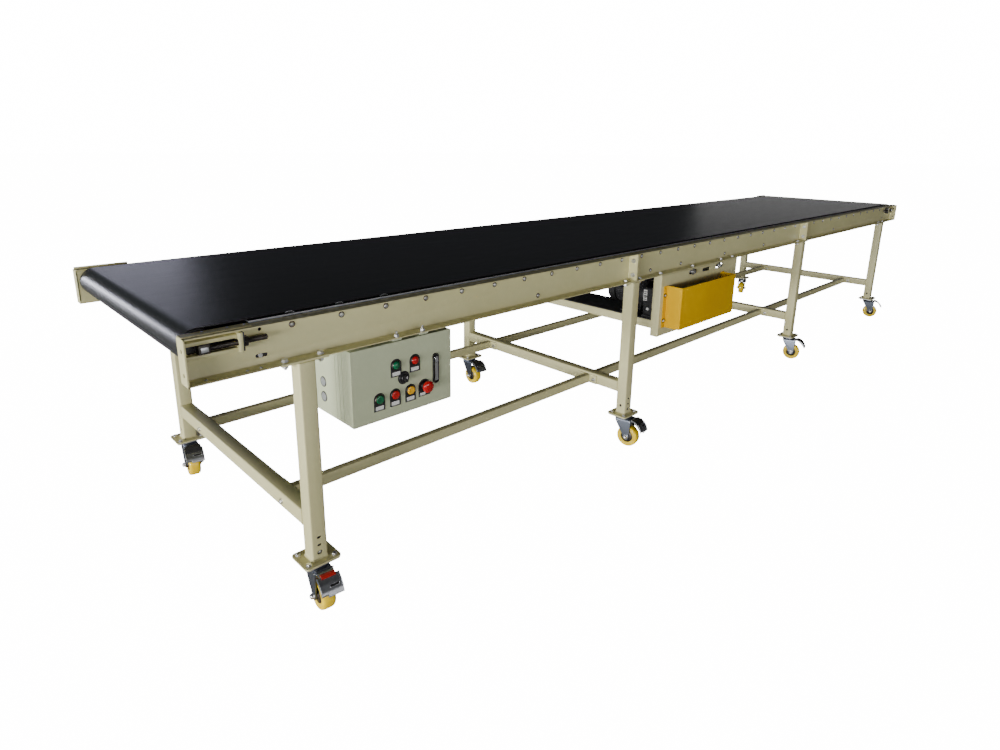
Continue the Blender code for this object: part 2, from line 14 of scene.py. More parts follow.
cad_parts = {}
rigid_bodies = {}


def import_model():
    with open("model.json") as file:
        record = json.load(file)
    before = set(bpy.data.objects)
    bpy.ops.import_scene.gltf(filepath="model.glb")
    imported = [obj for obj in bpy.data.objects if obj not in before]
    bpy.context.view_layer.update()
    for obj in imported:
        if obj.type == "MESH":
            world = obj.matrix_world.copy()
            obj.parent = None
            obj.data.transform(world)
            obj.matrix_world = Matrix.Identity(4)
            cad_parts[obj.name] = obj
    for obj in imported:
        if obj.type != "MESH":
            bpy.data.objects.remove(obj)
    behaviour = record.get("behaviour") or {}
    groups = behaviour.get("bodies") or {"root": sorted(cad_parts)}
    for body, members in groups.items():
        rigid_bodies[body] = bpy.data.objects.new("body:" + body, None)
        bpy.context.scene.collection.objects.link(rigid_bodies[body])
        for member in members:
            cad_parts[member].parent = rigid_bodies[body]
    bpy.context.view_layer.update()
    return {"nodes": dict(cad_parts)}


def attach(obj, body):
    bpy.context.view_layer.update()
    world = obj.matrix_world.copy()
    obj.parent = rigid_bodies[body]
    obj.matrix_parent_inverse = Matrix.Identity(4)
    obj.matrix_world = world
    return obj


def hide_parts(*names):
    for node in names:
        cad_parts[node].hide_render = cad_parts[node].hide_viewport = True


for old in list(bpy.data.objects):
    bpy.data.objects.remove(old, do_unlink=True)
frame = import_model()
NODES = frame["nodes"]

MM = 0.001
ROOT = "conveyor"

SIDES = (("near", -1), ("far", 1))
ENDS = (("tail", -1), ("head", 1))
UP, DOWN, TO_NEAR, TO_FAR = (0, 0, 1), (0, 0, -1), (0, -1, 0), (0, 1, 0)

HALF_WIDTH, WEB_OUT, WEB_IN = 560, 517, 514
FRAME_BOTTOM, FRAME_TOP, SHEET = 773, 893, 3
JOINTS_X = (-2775, -925, 925, 2775)
JOINT_Y, JOINT_Z = 540, (861, 800)
HALF = 2775
LEG_X = (-2470, -925, 903, 2470)
LEG_Y = 535
CROSSBAR_Z = (255, 305)
TIE_Y, TIE_Z = 341, 276.5
WHEEL_R, WHEEL_HALF, TRAIL = 50, 22, 33
LEG_IN, LEG_OUT = 26, 30
PEDAL_X, PEDAL_Z, PEDAL_HALF, PEDAL_WIDE = 47, 131.7, 24, 34
HEADINGS = {"near": (-95, -80, -74, -64), "far": (-98, -91, 90, 20)}
NOSE_R, NOSE_X, NOSE_Z = 47.5, 2721.8, 853.5
DRUM_X, DRUM_Z, DRUM_R = -320, 630, 75
SNUB_R, SNUB_DX, SNUB_Z = 51, 129.6, 754.7
BELT_T, BELT_HALF, GAP = 3, 500, 0.3
SCREW_Y = 531
GUIDE_Y, LEG_BOLT_Y = (516.5, 535), 538
LOWER_BOLTS, DRIVE_BOLTS = ((-1510,), (-758, -497, -58, 410), (1510,)), (-708, -422, -139, -14)
TAB_Y, TAB_Z = (-508.5, -506.5), 883.5
DRIVE_X, DRIVE_BOTTOM, DRIVE_TOP = (-726, 6), 479, 772.7
GUARD_X, GUARD_Z, GUARD_FRONT = (-675.5, -160), (520, 718), -640
SHAFT_X, SHAFT_Z = -549, 630
MOTOR_X, MOTOR_Z = -640, 655
CHAIN_Y, PITCH, DRUM_TEETH, SHAFT_TEETH = -590, 19.05, 19, 13
ROLLER_HALF = 505
BOX_X, BOX_Z, BOX_FRONT, BOX_BACK = (-2340, -1970), (528, 766), -560, -340
BUTTONS = {"green": -2248, "red": -2191, "yellow": -2134}
BUTTON_Z, ESTOP_X = 598, -2077
CAP_R, CAP_HOLE, BEZEL_R = 13.3, 13.8, 16.4
SELECTOR_X, SELECTOR_Z = -2158, 645
LAMPS = {"green": -2185, "red": -2115}
LAMP_Z = 692
LATCH_X, LATCH_Z = -2034, (604, 689)
HANGERS_X, HANGER_Y, PLUG_Y, PLUGS_Z = (-2171, -2073), -548, -396, (583, 632)
LEGEND_Y, LABEL_Y, LAMP_Y = (-560.1, -561.3), (-561.4, -562.1), -561.2


def link(name, data):
    obj = bpy.data.objects.new(name, data)
    bpy.context.scene.collection.objects.link(obj)
    return obj


# ------------------------------------------------------------------ camera
RIGHT, FORWARD = Vector((0.71960, -0.69426, 0.01355)), Vector((0.67341, 0.69297, -0.25751))
camera_data = bpy.data.cameras.new("camera")
camera_data.sensor_width = 36
camera_data.lens = 22.89
camera_data.shift_y = -0.0636
camera_data.clip_start, camera_data.clip_end = 0.05, 200
camera = link("camera", camera_data)
rotation = Matrix((RIGHT, RIGHT.cross(FORWARD), -FORWARD)).transposed()
camera.matrix_world = Matrix.Translation((-3.2269, -2.0814, 1.3488)) @ rotation.to_4x4()
bpy.context.scene.camera = camera


# ------------------------------------------------------------------ shapes, as mesh data in millimetres
def as_mesh(bm):
    bmesh.ops.recalc_face_normals(bm, faces=bm.faces)
    mesh = bpy.data.meshes.new("shape")
    bm.to_mesh(mesh)
    bm.free()
    return mesh


def along(axis, depth, other):
    """The point at depth on the axis, and at other, a pair, on the two that are left."""
    at = "xyz".index(axis)
    return (*other[:at], depth, *other[at:])


def prism(outline, axis, a, b):
    """The outline, given in the two axes other than axis and in their order, drawn out from a to b."""
    bm = bmesh.new()
    low, high = ([bm.verts.new(along(axis, depth, p)) for p in outline] for depth in sorted((a, b)))
    bm.faces.new(low)
    bm.faces.new(high[::-1])
    for i in range(len(outline)):
        j = (i + 1) % len(outline)
        bm.faces.new((low[i], high[i], high[j], low[j]))
    return as_mesh(bm)


def block(x0, x1, y0, y1, z0, z1):
    return prism([(y0, z0), (y1, z0), (y1, z1), (y0, z1)], "x", x0, x1)


def soft_block(x0, x1, y0, y1, z0, z1, r=1.5, segments=2):
    """A block with every edge rounded."""
    bm = bmesh.new()
    bmesh.ops.create_cube(bm, size=1)
    size = Vector((abs(x1 - x0), abs(y1 - y0), abs(z1 - z0)))
    centre = Vector(((x0 + x1) / 2, (y0 + y1) / 2, (z0 + z1) / 2))
    bmesh.ops.scale(bm, vec=size, verts=bm.verts)
    bmesh.ops.translate(bm, vec=centre, verts=bm.verts)
    bmesh.ops.bevel(bm, geom=bm.edges[:], offset=r, segments=segments, profile=0.5, affect="EDGES")
    return as_mesh(bm)


def lathe(profile, origin, axis, n=32):
    """A closed profile of (radius, distance along the axis), turned about the axis through origin."""
    turn = Vector(axis).normalized().to_track_quat("Z", "Y").to_matrix().to_4x4()
    place = Matrix.Translation(origin) @ turn
    angles = [2 * math.pi * k / n for k in range(n)]
    bm = bmesh.new()
    rings = []
    for r, h in profile:
        if r < 1e-6:
            rings.append([bm.verts.new(place @ Vector((0, 0, h)))] * n)
        else:
            rings.append([bm.verts.new(place @ Vector((r * math.cos(a), r * math.sin(a), h))) for a in angles])
    for ring, after in zip(rings, rings[1:] + rings[:1]):
        for k in range(n):
            j = (k + 1) % n
            corners = list(dict.fromkeys((ring[k], ring[j], after[j], after[k])))
            if len(corners) > 2:
                bm.faces.new(corners)
    return as_mesh(bm)


def bar(axis, a, b, p, q, r, n=24, chamfer=0.0):
    """A round bar along one axis from a to b, with p and q its place in the other two axes."""
    start, end = Vector(along(axis, a, (p, q))), Vector(along(axis, b, (p, q)))
    length, c = (end - start).length, chamfer
    profile = [(0, 0), (r, 0), (r, length), (0, length)]
    if c:
        profile = [(0, 0), (r - c, 0), (r, c), (r, length - c), (r - c, length), (0, length)]
    return lathe(profile, start, end - start, n)


def arc(cx, cz, r, start, end, n):
    angles = [math.radians(start + (end - start) * k / n) for k in range(n + 1)]
    return [(cx + r * math.cos(a), cz + r * math.sin(a)) for a in angles]


def rounded(x0, x1, y0, y1, r, n=4):
    """Outline of a rounded rectangle."""
    (x0, x1), (y0, y1) = sorted((x0, x1)), sorted((y0, y1))
    corners = ((x1 - r, y1 - r), (x0 + r, y1 - r), (x0 + r, y0 + r), (x1 - r, y0 + r))
    return [p for k, at in enumerate(corners) for p in arc(*at, r, 90 * k, 90 * k + 90, n)]


def centred(x, y, half_x, half_y, r, n=4):
    return rounded(x - half_x, x + half_x, y - half_y, y + half_y, r, n)


def softened(outline, r, n=4):
    """The outline with each corner rounded to radius r, or less where its sides are short."""
    points = []
    for i, p in enumerate(outline):
        p, before, after = Vector(p), Vector(outline[i - 1]), Vector(outline[(i + 1) % len(outline)])
        a, b = before - p, after - p
        cut = min(r, a.length * 0.45, b.length * 0.45)
        start, end = p + a.normalized() * cut, p + b.normalized() * cut
        for t in [k / n for k in range(n + 1)]:
            points.append(tuple(start * (1 - t) ** 2 + p * 2 * t * (1 - t) + end * t * t))
    return points


def hex_bolt(at, axis, flats=13, head=5.5, washer=0.0):
    """Bolt head standing on the face at the point, along the axis, with an optional washer under it."""
    r = flats / math.sqrt(3)
    lift = 1.4 if washer else 0
    parts = [lathe([(0, 0), (washer, 0), (washer, lift), (0, lift)], at, axis, 24)] if washer else []
    body = [(0, lift), (r, lift), (r, lift + head - 1), (r * 0.86, lift + head), (0, lift + head)]
    return parts + [lathe(body, at, axis, 6)]


def button_head(at, axis, r=6.0, h=3.2):
    """Dome head with a socket."""
    profile = [(0, 0), (r, 0), (r, 0.5), (r * 0.93, h * 0.55), (r * 0.72, h * 0.88), (r * 0.5, h)]
    profile += [(r * 0.42, h), (r * 0.40, h * 0.35), (0, h * 0.35)]
    return [lathe(profile, at, axis, 18)]


def screw_thread(start, end, r, pitch=1.75, n=14):
    """Rod with ridges for a thread."""
    start, end = Vector(start), Vector(end)
    length = (end - start).length
    profile = [(0, 0), (r - 0.8, 0)]
    for k in range(int(length / pitch)):
        profile += [(r - 0.8, (k + 0.25) * pitch), (r, (k + 0.6) * pitch)]
    profile += [(r - 0.8, length), (0, length)]
    return lathe(profile, start, end - start, n)


def fuse(adds, cuts=(), common=()):
    """Meshes joined, cut and intersected into one."""
    base, *others = [link("helper", mesh) for mesh in (*adds, *cuts, *common)]
    kinds = ["UNION"] * (len(adds) - 1) + ["DIFFERENCE"] * len(cuts) + ["INTERSECT"] * len(common)
    for kind, other in zip(kinds, others):
        boolean = base.modifiers.new(kind, "BOOLEAN")
        boolean.operation = kind
        boolean.solver = "EXACT"
        boolean.object = other
    graph = bpy.context.evaluated_depsgraph_get()
    mesh = bpy.data.meshes.new_from_object(base.evaluated_get(graph))
    bm = bmesh.new()
    bm.from_mesh(mesh)
    bmesh.ops.remove_doubles(bm, verts=bm.verts, dist=0.002)
    bmesh.ops.dissolve_degenerate(bm, edges=bm.edges, dist=0.002)
    bm.to_mesh(mesh)
    bm.free()
    for obj in (base, *others):
        bpy.data.objects.remove(obj, do_unlink=True)
    return mesh


def piece(name, shapes, material, body=ROOT, replaces=None, place=Matrix(), sharp=32):
    """One visible piece, in metres, that rides on a body, with its material."""
    bm = bmesh.new()
    for shape in shapes:
        bm.from_mesh(shape)
    mesh = bpy.data.meshes.new(name)
    bm.to_mesh(mesh)
    bm.free()
    mesh.transform(Matrix.Scale(MM, 4) @ place)
    mesh.materials.append(material)
    mesh.shade_smooth()
    mesh.set_sharp_from_angle(angle=math.radians(sharp))
    obj = link(name, mesh)
    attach(obj, body)
    # Blender adds .001 to the name of a material that the CAD has too.
    if replaces:
        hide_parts(replaces)


# ------------------------------------------------------------------ materials
class Nodes:
    """Short calls for building one material's node tree. A value is a number, a tuple or a socket."""

    def __init__(self, name):
        self.material = bpy.data.materials.new(name)
        self.material.use_nodes = True
        self.tree = self.material.node_tree
        self.shader = self.tree.nodes["Principled BSDF"]
        self.coords = self.tree.nodes.new("ShaderNodeTexCoord").outputs["Object"]

    def fill(self, socket, value):
        if isinstance(value, bpy.types.NodeSocket):
            self.tree.links.new(value, socket)
        elif socket.type == "RGBA":
            socket.default_value = (*value, 1)
        else:
            socket.default_value = value

    def put(self, socket, value):
        self.fill(self.shader.inputs[socket], value)

    def node(self, kind, inputs=(), **settings):
        node = self.tree.nodes.new("ShaderNode" + kind)
        for key, value in settings.items():
            setattr(node, key, value)
        for key, value in dict(inputs).items():
            self.fill(node.inputs[key], value)
        return node

    def scaled(self, scale):
        return self.node("Mapping", {"Vector": self.coords, "Scale": scale}).outputs[0]

    def noise(self, scale, detail, rough, vector=None, distortion=0.0):
        inputs = {"Vector": vector or self.coords, "Scale": scale, "Detail": detail, "Roughness": rough}
        return self.node("TexNoise", {**inputs, "Distortion": distortion}).outputs["Fac"]

    def ramp(self, fac, low, high):
        node = self.node("ValToRGB", {"Fac": fac})
        node.color_ramp.elements[0].position, node.color_ramp.elements[1].position = low, high
        return node.outputs["Color"]

    def math(self, operation, a, b, c=0.0, clamp=False):
        return self.node("Math", enumerate((a, b, c)), operation=operation, use_clamp=clamp).outputs[0]

    def mix(self, fac, a, b):
        return self.node("Mix", {0: fac, 6: a, 7: b}, data_type="RGBA").outputs[2]

    def round_edges(self, radius):
        return self.node("Bevel", {"Radius": radius}, samples=4).outputs["Normal"]

    def edges(self, rounded_normal):
        """0 on flat faces, rising at edges."""
        normal = self.node("NewGeometry").outputs["Normal"]
        dot = self.node("VectorMath", {0: rounded_normal, 1: normal}, operation="DOT_PRODUCT")
        return self.math("SUBTRACT", 1.0, dot.outputs["Value"], clamp=True)

    def bump(self, height, distance, strength, normal=None):
        inputs = {"Height": height, "Distance": distance, "Strength": strength}
        if normal is not None:
            inputs["Normal"] = normal
        return self.node("Bump", inputs).outputs["Normal"]


def coated(name, base, shade, wear, rough=(0.32, 0.5), peel=0.25, radius=0.0012, grime=0.35, gleam=0.5):
    """Paint on metal: slow colour drift, fine orange peel, dust, and worn edges."""
    m = Nodes(name)
    soft = m.round_edges(radius)
    body = m.mix(m.ramp(m.noise(1.7, 4.0, 0.6), 0.35, 0.68), base, shade)
    smudge = m.ramp(m.noise(14.0, 6.0, 0.7, distortion=0.6), 0.56, 0.78)
    body = m.mix(m.math("MULTIPLY", smudge, grime), body, shade)
    chips = m.ramp(m.noise(60.0, 4.0, 0.7), 0.45, 0.62)
    chipped = m.math("MULTIPLY", m.ramp(m.edges(soft), 0.02, 0.16), chips)
    m.put("Base Color", m.mix(chipped, body, wear))
    gloss = m.ramp(m.noise(5.0, 4.0, 0.6), 0.3, 0.75)
    m.put("Roughness", m.math("MULTIPLY_ADD", gloss, rough[1] - rough[0], rough[0]))
    m.put("Normal", m.bump(m.noise(420.0, 2.0, 0.5), 0.0002, peel, soft))
    m.put("Specular IOR Level", gleam)
    return m.material


def metal(name, base, stain, rough, brush=(40, 40, 40), radius=0.0008, stain_at=0.55):
    """Bare or plated metal: brushed grain, stains, and rounded edges."""
    m = Nodes(name)
    soft = m.round_edges(radius)
    grain = m.noise(14.0, 5.0, 0.65, m.scaled(brush))
    patch = m.ramp(m.noise(9.0, 5.0, 0.65), stain_at, stain_at + 0.22)
    m.put("Base Color", m.mix(m.math("MULTIPLY", patch, 0.75), base, stain))
    m.put("Metallic", 1.0)
    m.put("Roughness", m.math("MULTIPLY_ADD", grain, 0.22, rough))
    m.put("Normal", m.bump(grain, 0.0001, 0.35, soft))
    return m.material


def plastic(name, base, shade, rough, peel=0.15, coat=0.0, subsurface=0.0, gleam=0.5):
    """Moulded plastic or rubber: faint mottling, fine grain, scuffs."""
    m = Nodes(name)
    soft = m.round_edges(0.0006)
    m.put("Base Color", m.mix(m.ramp(m.noise(30.0, 4.0, 0.6), 0.35, 0.7), base, shade))
    scuff = m.ramp(m.noise(55.0, 6.0, 0.7, distortion=1.2), 0.5, 0.75)
    m.put("Roughness", m.math("MULTIPLY_ADD", scuff, 0.2, rough))
    m.put("Normal", m.bump(m.noise(900.0, 2.0, 0.5), 0.00015, peel, soft))
    m.put("Specular IOR Level", gleam)
    m.put("Coat Weight", coat)
    m.put("Coat Roughness", 0.1)
    if subsurface:
        m.put("Subsurface Weight", subsurface)
        m.put("Subsurface Radius", (0.01, 0.006, 0.002))
        m.put("Subsurface Scale", 0.5)
    return m.material


def belt_material():
    """Black PVC with a fine grain, faint lengthwise scuffs and a bluish sheen."""
    m = Nodes("belt_pvc")
    streak = m.noise(5.0, 6.0, 0.7, m.scaled((1.2, 26.0, 26.0)))
    cloud = m.noise(1.3, 4.0, 0.6)
    body = m.mix(m.ramp(cloud, 0.3, 0.75), (0.010, 0.0105, 0.0102), (0.015, 0.0155, 0.0150))
    body = m.mix(m.math("MULTIPLY", m.ramp(streak, 0.55, 0.8), 0.35), body, (0.020, 0.020, 0.021))
    m.put("Base Color", body)
    m.put("Roughness", m.math("MULTIPLY_ADD", m.ramp(streak, 0.3, 0.8), 0.08, 0.29))
    weave = m.node("TexVoronoi", {"Vector": m.coords, "Scale": 620.0}).outputs["Distance"]
    ripple = m.math("MULTIPLY_ADD", m.noise(9.0, 3.0, 0.5, m.scaled((1.0, 0.25, 1.0))), 4.0, weave)
    m.put("Normal", m.bump(ripple, 0.00022, 0.30))
    m.put("Specular IOR Level", 0.28)
    m.put("Sheen Weight", 0.03)
    m.put("Sheen Tint", (0.62, 0.66, 0.85))
    m.put("Sheen Roughness", 0.4)
    return m.material


CREAM = coated("cream_paint", (0.68, 0.645, 0.36), (0.61, 0.575, 0.30), (0.40, 0.38, 0.26))
GREEN_GREY = coated(
    "box_paint", (0.54, 0.585, 0.395), (0.49, 0.53, 0.345), (0.6, 0.62, 0.5), peel=0.4, grime=0.2
)
YELLOW = coated(
    "yellow_paint", (0.80, 0.47, 0.0), (0.70, 0.39, 0.0), (0.50, 0.32, 0.02),
    rough=(0.3, 0.45), peel=0.3, grime=0.3, gleam=0.12,
)
BLACK_PAINT = coated(
    "black_paint", (0.013, 0.013, 0.014), (0.02, 0.02, 0.021), (0.12, 0.12, 0.12), rough=(0.35, 0.55), peel=0.6
)
PEDAL_RED = coated("pedal_red", (0.55, 0.02, 0.015), (0.40, 0.012, 0.01), (0.25, 0.05, 0.04), radius=0.001)
FORK = metal("fork_zinc", (0.17, 0.19, 0.23), (0.08, 0.09, 0.11), 0.28, radius=0.0016)
PEDAL_GREY = metal("pedal_grey", (0.36, 0.37, 0.39), (0.17, 0.18, 0.20), 0.28, radius=0.0014)
ZINC = metal("zinc_plate", (0.58, 0.60, 0.64), (0.36, 0.37, 0.40), 0.28)
BOLT = metal("bolt_zinc", (0.66, 0.66, 0.66), (0.30, 0.29, 0.27), 0.22)
STEEL = metal("turned_steel", (0.52, 0.53, 0.55), (0.30, 0.28, 0.26), 0.26, brush=(6, 90, 90))
GALVANISED = metal("galvanised", (0.55, 0.57, 0.59), (0.44, 0.46, 0.48), 0.38, stain_at=0.45)
CHROME = metal("chrome", (0.78, 0.79, 0.81), (0.6, 0.6, 0.62), 0.06, stain_at=0.7)
OXIDE = metal("black_oxide", (0.07, 0.065, 0.06), (0.16, 0.09, 0.05), 0.35)
CHAIN_STEEL = metal("chain_steel", (0.34, 0.31, 0.27), (0.22, 0.10, 0.05), 0.33, stain_at=0.5)
BELT = belt_material()
TREAD = plastic("wheel_tread", (0.95, 0.68, 0.015), (0.90, 0.58, 0.01), 0.22, coat=0.3, subsurface=0.1)
HUB = plastic("wheel_hub", (0.90, 0.68, 0.07), (0.80, 0.55, 0.04), 0.3)
BLACK = plastic("black_plastic", (0.012, 0.012, 0.013), (0.02, 0.02, 0.02), 0.3)
RUBBER = plastic("rubber", (0.02, 0.02, 0.02), (0.035, 0.035, 0.035), 0.6, peel=0.4)
# Near-black with almost no gloss: painted shade for the gap beside the belt.
GAP_SHADE = plastic("gap_shade_black", (0.006, 0.006, 0.006), (0.01, 0.01, 0.01), 0.7, gleam=0.03)
GREEN = plastic("green_plastic", (0.002, 0.13, 0.05), (0.002, 0.10, 0.04), 0.18, coat=0.3)
RED = plastic("red_plastic", (0.50, 0.004, 0.006), (0.42, 0.003, 0.005), 0.18, coat=0.3)
AMBER = plastic("amber_plastic", (0.86, 0.45, 0.01), (0.78, 0.38, 0.01), 0.18, coat=0.3)
WHITE = plastic("white_label", (0.82, 0.82, 0.79), (0.76, 0.76, 0.73), 0.4)
PLUG_GREY = plastic("plug_grey", (0.30, 0.31, 0.30), (0.24, 0.25, 0.25), 0.35)

# The slots of the materials that aren't called what their slot is.
for slot, names in (
    ("grey_green_paint", ("box_paint",)),
    ("dark_zinc", ("fork_zinc", "zinc_plate")),
    ("grey_plastic", ("pedal_grey", "pedal_red")),
    ("turned_steel", ("bolt_zinc", "black_oxide", "chain_steel")),
    ("polyurethane", ("wheel_tread", "wheel_hub")),
    ("black_plastic", ("rubber", "gap_shade_black", "white_label", "plug_grey")),
):
    dict.fromkeys(names, slot)


# ------------------------------------------------------------------ side frames
def channel_section(side):
    """C-section with rounded folds, web towards the belt."""
    y, low, high = WEB_IN + 5, FRAME_BOTTOM + 5, FRAME_TOP - 5
    points = arc(y, low, 5, 270, 180, 4) + arc(y, high, 5, 180, 90, 4)
    points += [(HALF_WIDTH, FRAME_TOP), (HALF_WIDTH, FRAME_TOP - SHEET)]
    points += arc(y, high, 2, 90, 180, 3) + arc(y, low, 2, 180, 270, 3)
    points += [(HALF_WIDTH, FRAME_BOTTOM + SHEET), (HALF_WIDTH, FRAME_BOTTOM)]
    return [(side * y, z) for y, z in points]


def web_bolts(number):
    """Places along the web of one section where the deck is screwed on."""
    if number == 1:
        return [JOINTS_X[1] + 89 + 152 * k for k in range(12)]
    end = 1 if number else -1
    return [end * (HALF - 290 - 150 * k) for k in range(11)]


def side_frame(place, side, number):
    label = f"{place}_{number + 1}"
    x0 = JOINTS_X[number] + (GAP / 2 if number > 0 else 0)
    x1 = JOINTS_X[number + 1] - (GAP / 2 if number < 2 else 0)
    cuts, plates, guides, dark, bolts = [], [], [], [], []
    y_joint, y_screw = side * JOINT_Y, side * SCREW_Y
    outline = arc(WEB_IN + 12, FRAME_BOTTOM + 12, 12, 270, 180, 5)
    outline += arc(WEB_IN + 5, FRAME_TOP - 5, 5, 180, 90, 4)
    outline += [(HALF_WIDTH, FRAME_TOP), (HALF_WIDTH, FRAME_BOTTOM)]
    for x, inward in ((x0, 1), (x1, -1)):
        plate = prism([(side * y, z) for y, z in outline], "x", x + inward * 0.01, x + inward * 4)
        plates.append(fuse([plate], [bar("x", x - 8, x + 8, y_joint, z, 5) for z in JOINT_Z]))
        if abs(x) < HALF:
            continue

        def span(a, b):
            return x + inward * a, x + inward * b

        # Take-up at the open end: guide bars, nut plate, and the holes in the web.
        for z in (866, 831):
            guides.append(soft_block(*span(10, 140), side * GUIDE_Y[0], side * GUIDE_Y[1], z, z + 10))
        nut_plate = soft_block(*span(136, 146), side * GUIDE_Y[0], side * 546, 829, 881)
        bore = bar("x", *span(130, 160), y_screw, NOSE_Z, 9)
        guides.append(fuse([nut_plate], [bore]))
        for a, b, z_low, z_high, r, n in ((18, 137, 841.5, 865.5, 4, 4), (184, 218, 796, 806, 4.95, 5)):
            slot = rounded(*span(a, b), z_low, z_high, r, n)
            cuts.append(prism(slot, "y", side * 505, side * 525))
        cuts.append(bar("y", side * 505, side * 525, x + inward * 201, 872, 4.5, 20))
        # Painted shade: black sheets behind the web slot and inside the end-plate holes stand in for the shade
        # there. The black pad behind the nut plate is partly a real pad and partly the plate's painted shadow.
        dark.append(block(*span(176, 226), side * 506, side * 513.4, 788, 814))
        dark.append(soft_block(*span(146.3, 150), side * 517.5, side * 544, 831, 880, 1))
        dark += [bar("x", *span(2.2, 3.6), y_joint, z, 4.95, 20) for z in JOINT_Z]
        bolts += hex_bolt((x + inward * 198, side * 513.6, 801), (0, side, 0), 12, 4)
    channel = fuse([prism(channel_section(side), "x", x0, x1)], cuts)
    piece(f"side_frame_{label}", [channel, *plates], CREAM, replaces=f"frame_{label}")
    if guides:
        piece(f"takeup_guides_{label}", guides, CREAM)
        # Painted shade in the slot and the holes, and the partly painted pad behind the nut plate.
        piece(f"takeup_shade_and_pad_{label}", dark, BLACK)
        piece(f"takeup_slot_bolts_{label}", bolts, BOLT)
    screws, seats = [], []
    for x, z in [(x, 869) for x in web_bolts(number)] + [(x, 795) for x in LOWER_BOLTS[number]]:
        screws += button_head((x, side * (WEB_OUT + 0.7), z), (0, side, 0), 6.6, 3.4)
        seats.append(bar("y", side * WEB_OUT, side * (WEB_OUT + 0.8), x, z, 9, 20))
    piece(f"web_screws_{label}", screws, BOLT)
    piece(f"web_washers_{label}", seats, OXIDE)


def frame_bolts(place, side):
    """Joint bolts, and bolts through the bottom flange with heads up and nuts below."""
    shapes, y = [], side * JOINT_Y
    for x in JOINTS_X[1:3]:
        for z in JOINT_Z:
            for facing, head in ((-1, 6), (1, 8)):
                shapes += hex_bolt((x + facing * 4.2, y, z), (facing, 0, 0), 16, head, 10)
            shapes.append(bar("x", x - 4, x + 16, y, z, 4.9, 16))
    piece(f"joint_bolts_{place}", shapes, BOLT)
    shapes, top, under = [], FRAME_BOTTOM + SHEET, FRAME_BOTTOM - 5.4
    places = [(x + dx, side * LEG_BOLT_Y, under) for x in LEG_X for dx in (-52, 52)]
    shapes += [bar("z", under - 7, under - 14, *at[:2], 4.9, 16, 1) for at in places]
    places += [(x, y, DRIVE_TOP - 4.3) for x in DRIVE_BOLTS]
    for x, y_bolt, nut_z in places:
        shapes += hex_bolt((x, y_bolt, top), UP, 16, 6.5, 10.5)
        shapes += hex_bolt((x, y_bolt, nut_z), DOWN, 16, 8, 10.5)
    for end in (-1, 1):
        for inset in (49, 152, 187):
            shapes += button_head((end * (HALF - inset), y, top), UP, 5, 2.6)
    piece(f"flange_bolts_{place}", shapes, BOLT)


def nose_strip(name, side, end):
    """Sheet strip beside the belt nose, with three screws. The far one stands up above the belt."""
    x0, x1, top = end * (HALF - 1), end * (HALF - 171), FRAME_TOP + 2
    shapes = [prism(rounded(x0, x1, side * 515, side * 545, 3), "z", FRAME_TOP + 0.2, top)]
    if side > 0:
        shapes.append(soft_block(x0, x1, 542.5, 545, FRAME_TOP + 0.4, FRAME_TOP + 10, 0.8, 1))
    piece(name, shapes, CREAM)
    profile = [(0, 0), (4.2, 0), (4.2, 0.2), (2.6, 0.9), (1.4, 0.9), (1.2, 0.3), (0, 0.3)]
    heads = [lathe(profile, (end * (HALF - inset), side * 523, top), UP, 14) for inset in (57, 117, 160)]
    piece(name + "_screws", heads, BOLT)


for place, side in SIDES:
    for number in range(3):
        side_frame(place, side, number)
    frame_bolts(place, side)
    # Painted shade: a black strip on the deck between the belt's edge and the web stands in for the shade in
    # that gap.
    piece(f"edge_gap_shade_{place}", [block(-2598, 2598, side * 500.9, side * 513.6, 897.9, 899.4)], GAP_SHADE)
    for name, end in ENDS:
        nose_strip(f"nose_strip_{name}_{place}", side, end)
# Round-topped tabs that show above the first near-side web screws.
tabs, rims = [], []
for x in web_bolts(0)[:3]:
    tabs.append(prism(arc(x, TAB_Z, 20, 32, 148, 14), "y", *TAB_Y))
    rims.append(prism(arc(x, TAB_Z, 21, 30, 150, 16) + arc(x, TAB_Z, 20, 150, 30, 16), "y", *TAB_Y))
piece("edge_tabs", tabs, RUBBER)
piece("edge_tab_rims", rims, ZINC)


